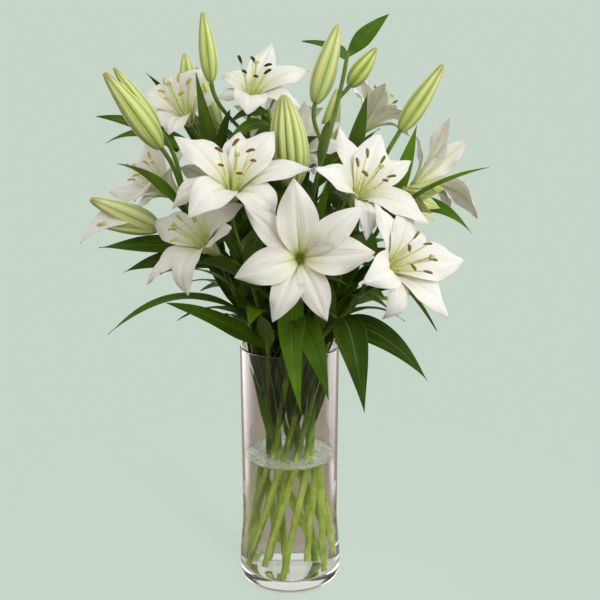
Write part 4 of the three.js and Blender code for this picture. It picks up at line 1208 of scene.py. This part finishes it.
# Stage, light and camera
back = rgb(BACKDROP)
black = (0, 0, 0, 1)
far = FLOOR["size"]
floor_mesh = bpy.data.meshes.new("floor")
floor_mesh.from_pydata([(-far, -far, 0), (far, -far, 0), (far, far, 0), (-far, far, 0)], [], [(0, 1, 2, 3)])
floor = add("floor", floor_mesh)
floor.location.z = -FLOOR["below"]
ground = Material("floor_pale")
distance = ground.vector("LENGTH", ground.place()).outputs["Value"]
near = ground.remap(distance, FLOOR["near"], FLOOR["far"], FLOOR["share"], 0.0)
ground.paint(ground.mix(near, black, back))
ground.feed(ground.shader.inputs["Emission Color"], ground.mix(near, back, black))
ground.set(Roughness=1.0, Specular_IOR_Level=0.0, Emission_Strength=1.0)
floor_mesh.materials.append(ground.material)
floor.visible_transmission = False
floor.visible_glossy = False
floor.visible_diffuse = False

# The camera sees a plain backdrop. Clear glass and gloss show a warm studio with soft uprights and two
# windows, and matt surfaces get soft light that is brighter from above.
world = bpy.data.worlds.new("studio")
scene.world = world
world.use_nodes = True
world.node_tree.nodes.clear()
studio = Graph(world.node_tree)
ray = studio.node("ShaderNodeLightPath")
toward = studio.node("ShaderNodeTexCoord").outputs["Generated"]
parts = studio.fill(studio.node("ShaderNodeSeparateXYZ"), toward)
height = studio.remap(parts.outputs["Z"], -1.0, 1.0, kind="LINEAR")
level = studio.vector("MULTIPLY", toward, (1, 1, 0)).outputs["Vector"]
uprights = studio.noise(level, UPRIGHTS["scale"], 1.0)
shifted = studio.math("MULTIPLY_ADD", uprights, UPRIGHTS["swing"], height)
dim = studio.remap(
    parts.outputs["Y"], FRONT_DIM["front"], FRONT_DIM["back"], FRONT_DIM["strength"], 1.0, "LINEAR"
)
room = studio.background(studio.ramp(shifted, ROOM), dim)
for x, y, strength in WINDOWS:
    facing = studio.vector("DOT_PRODUCT", toward, (x, y, 0)).outputs["Value"]
    window = studio.background(rgb(WINDOW_COLOUR), studio.remap(facing, *WINDOW_EDGE, 0.0, strength))
    room = studio.fill(studio.node("ShaderNodeAddShader"), room, window).outputs[0]
bright = studio.vector("DOT_PRODUCT", toward, BRIGHT_SIDE).outputs["Value"]
soft = studio.background(studio.ramp(studio.remap(bright, -1.0, 1.0, kind="LINEAR"), AROUND))
lit = studio.choose(ray.outputs["Is Diffuse Ray"], room, soft)
shown = studio.choose(ray.outputs["Is Camera Ray"], lit, studio.background(back))
studio.fill(studio.node("ShaderNodeOutputWorld"), shown)

for name, place, aim, size, power, colour, spread in LAMPS:
    lamp = bpy.data.lights.new(name, "AREA")
    lamp.shape = "RECTANGLE"
    lamp.size, lamp.size_y = size
    lamp.energy = power
    lamp.spread = math.radians(spread)
    lamp.color = rgb(colour)[:3]
    made = add(name, lamp)
    made.location = place
    x, y, z = np.subtract(aim, place)
    made.rotation_euler = (math.atan2(math.hypot(x, y), -z), 0, math.atan2(-x, y))
    made.visible_transmission = False
    made.visible_glossy = False

camera_data = bpy.data.cameras.new("camera")
camera_data.lens = CAMERA["lens"]
camera_data.sensor_width = CAMERA["sensor"]
camera = add("camera", camera_data)
camera.location = [c * MM for c in CAMERA["place"]]
camera.rotation_euler = (math.radians(90 - CAMERA["down"]), 0, 0)
scene.camera = camera
scene.view_settings.view_transform = "Standard"
scene.cycles.max_bounces = BOUNCES
scene.cycles.transmission_bounces = BOUNCES
scene.cycles.glossy_bounces = BOUNCES
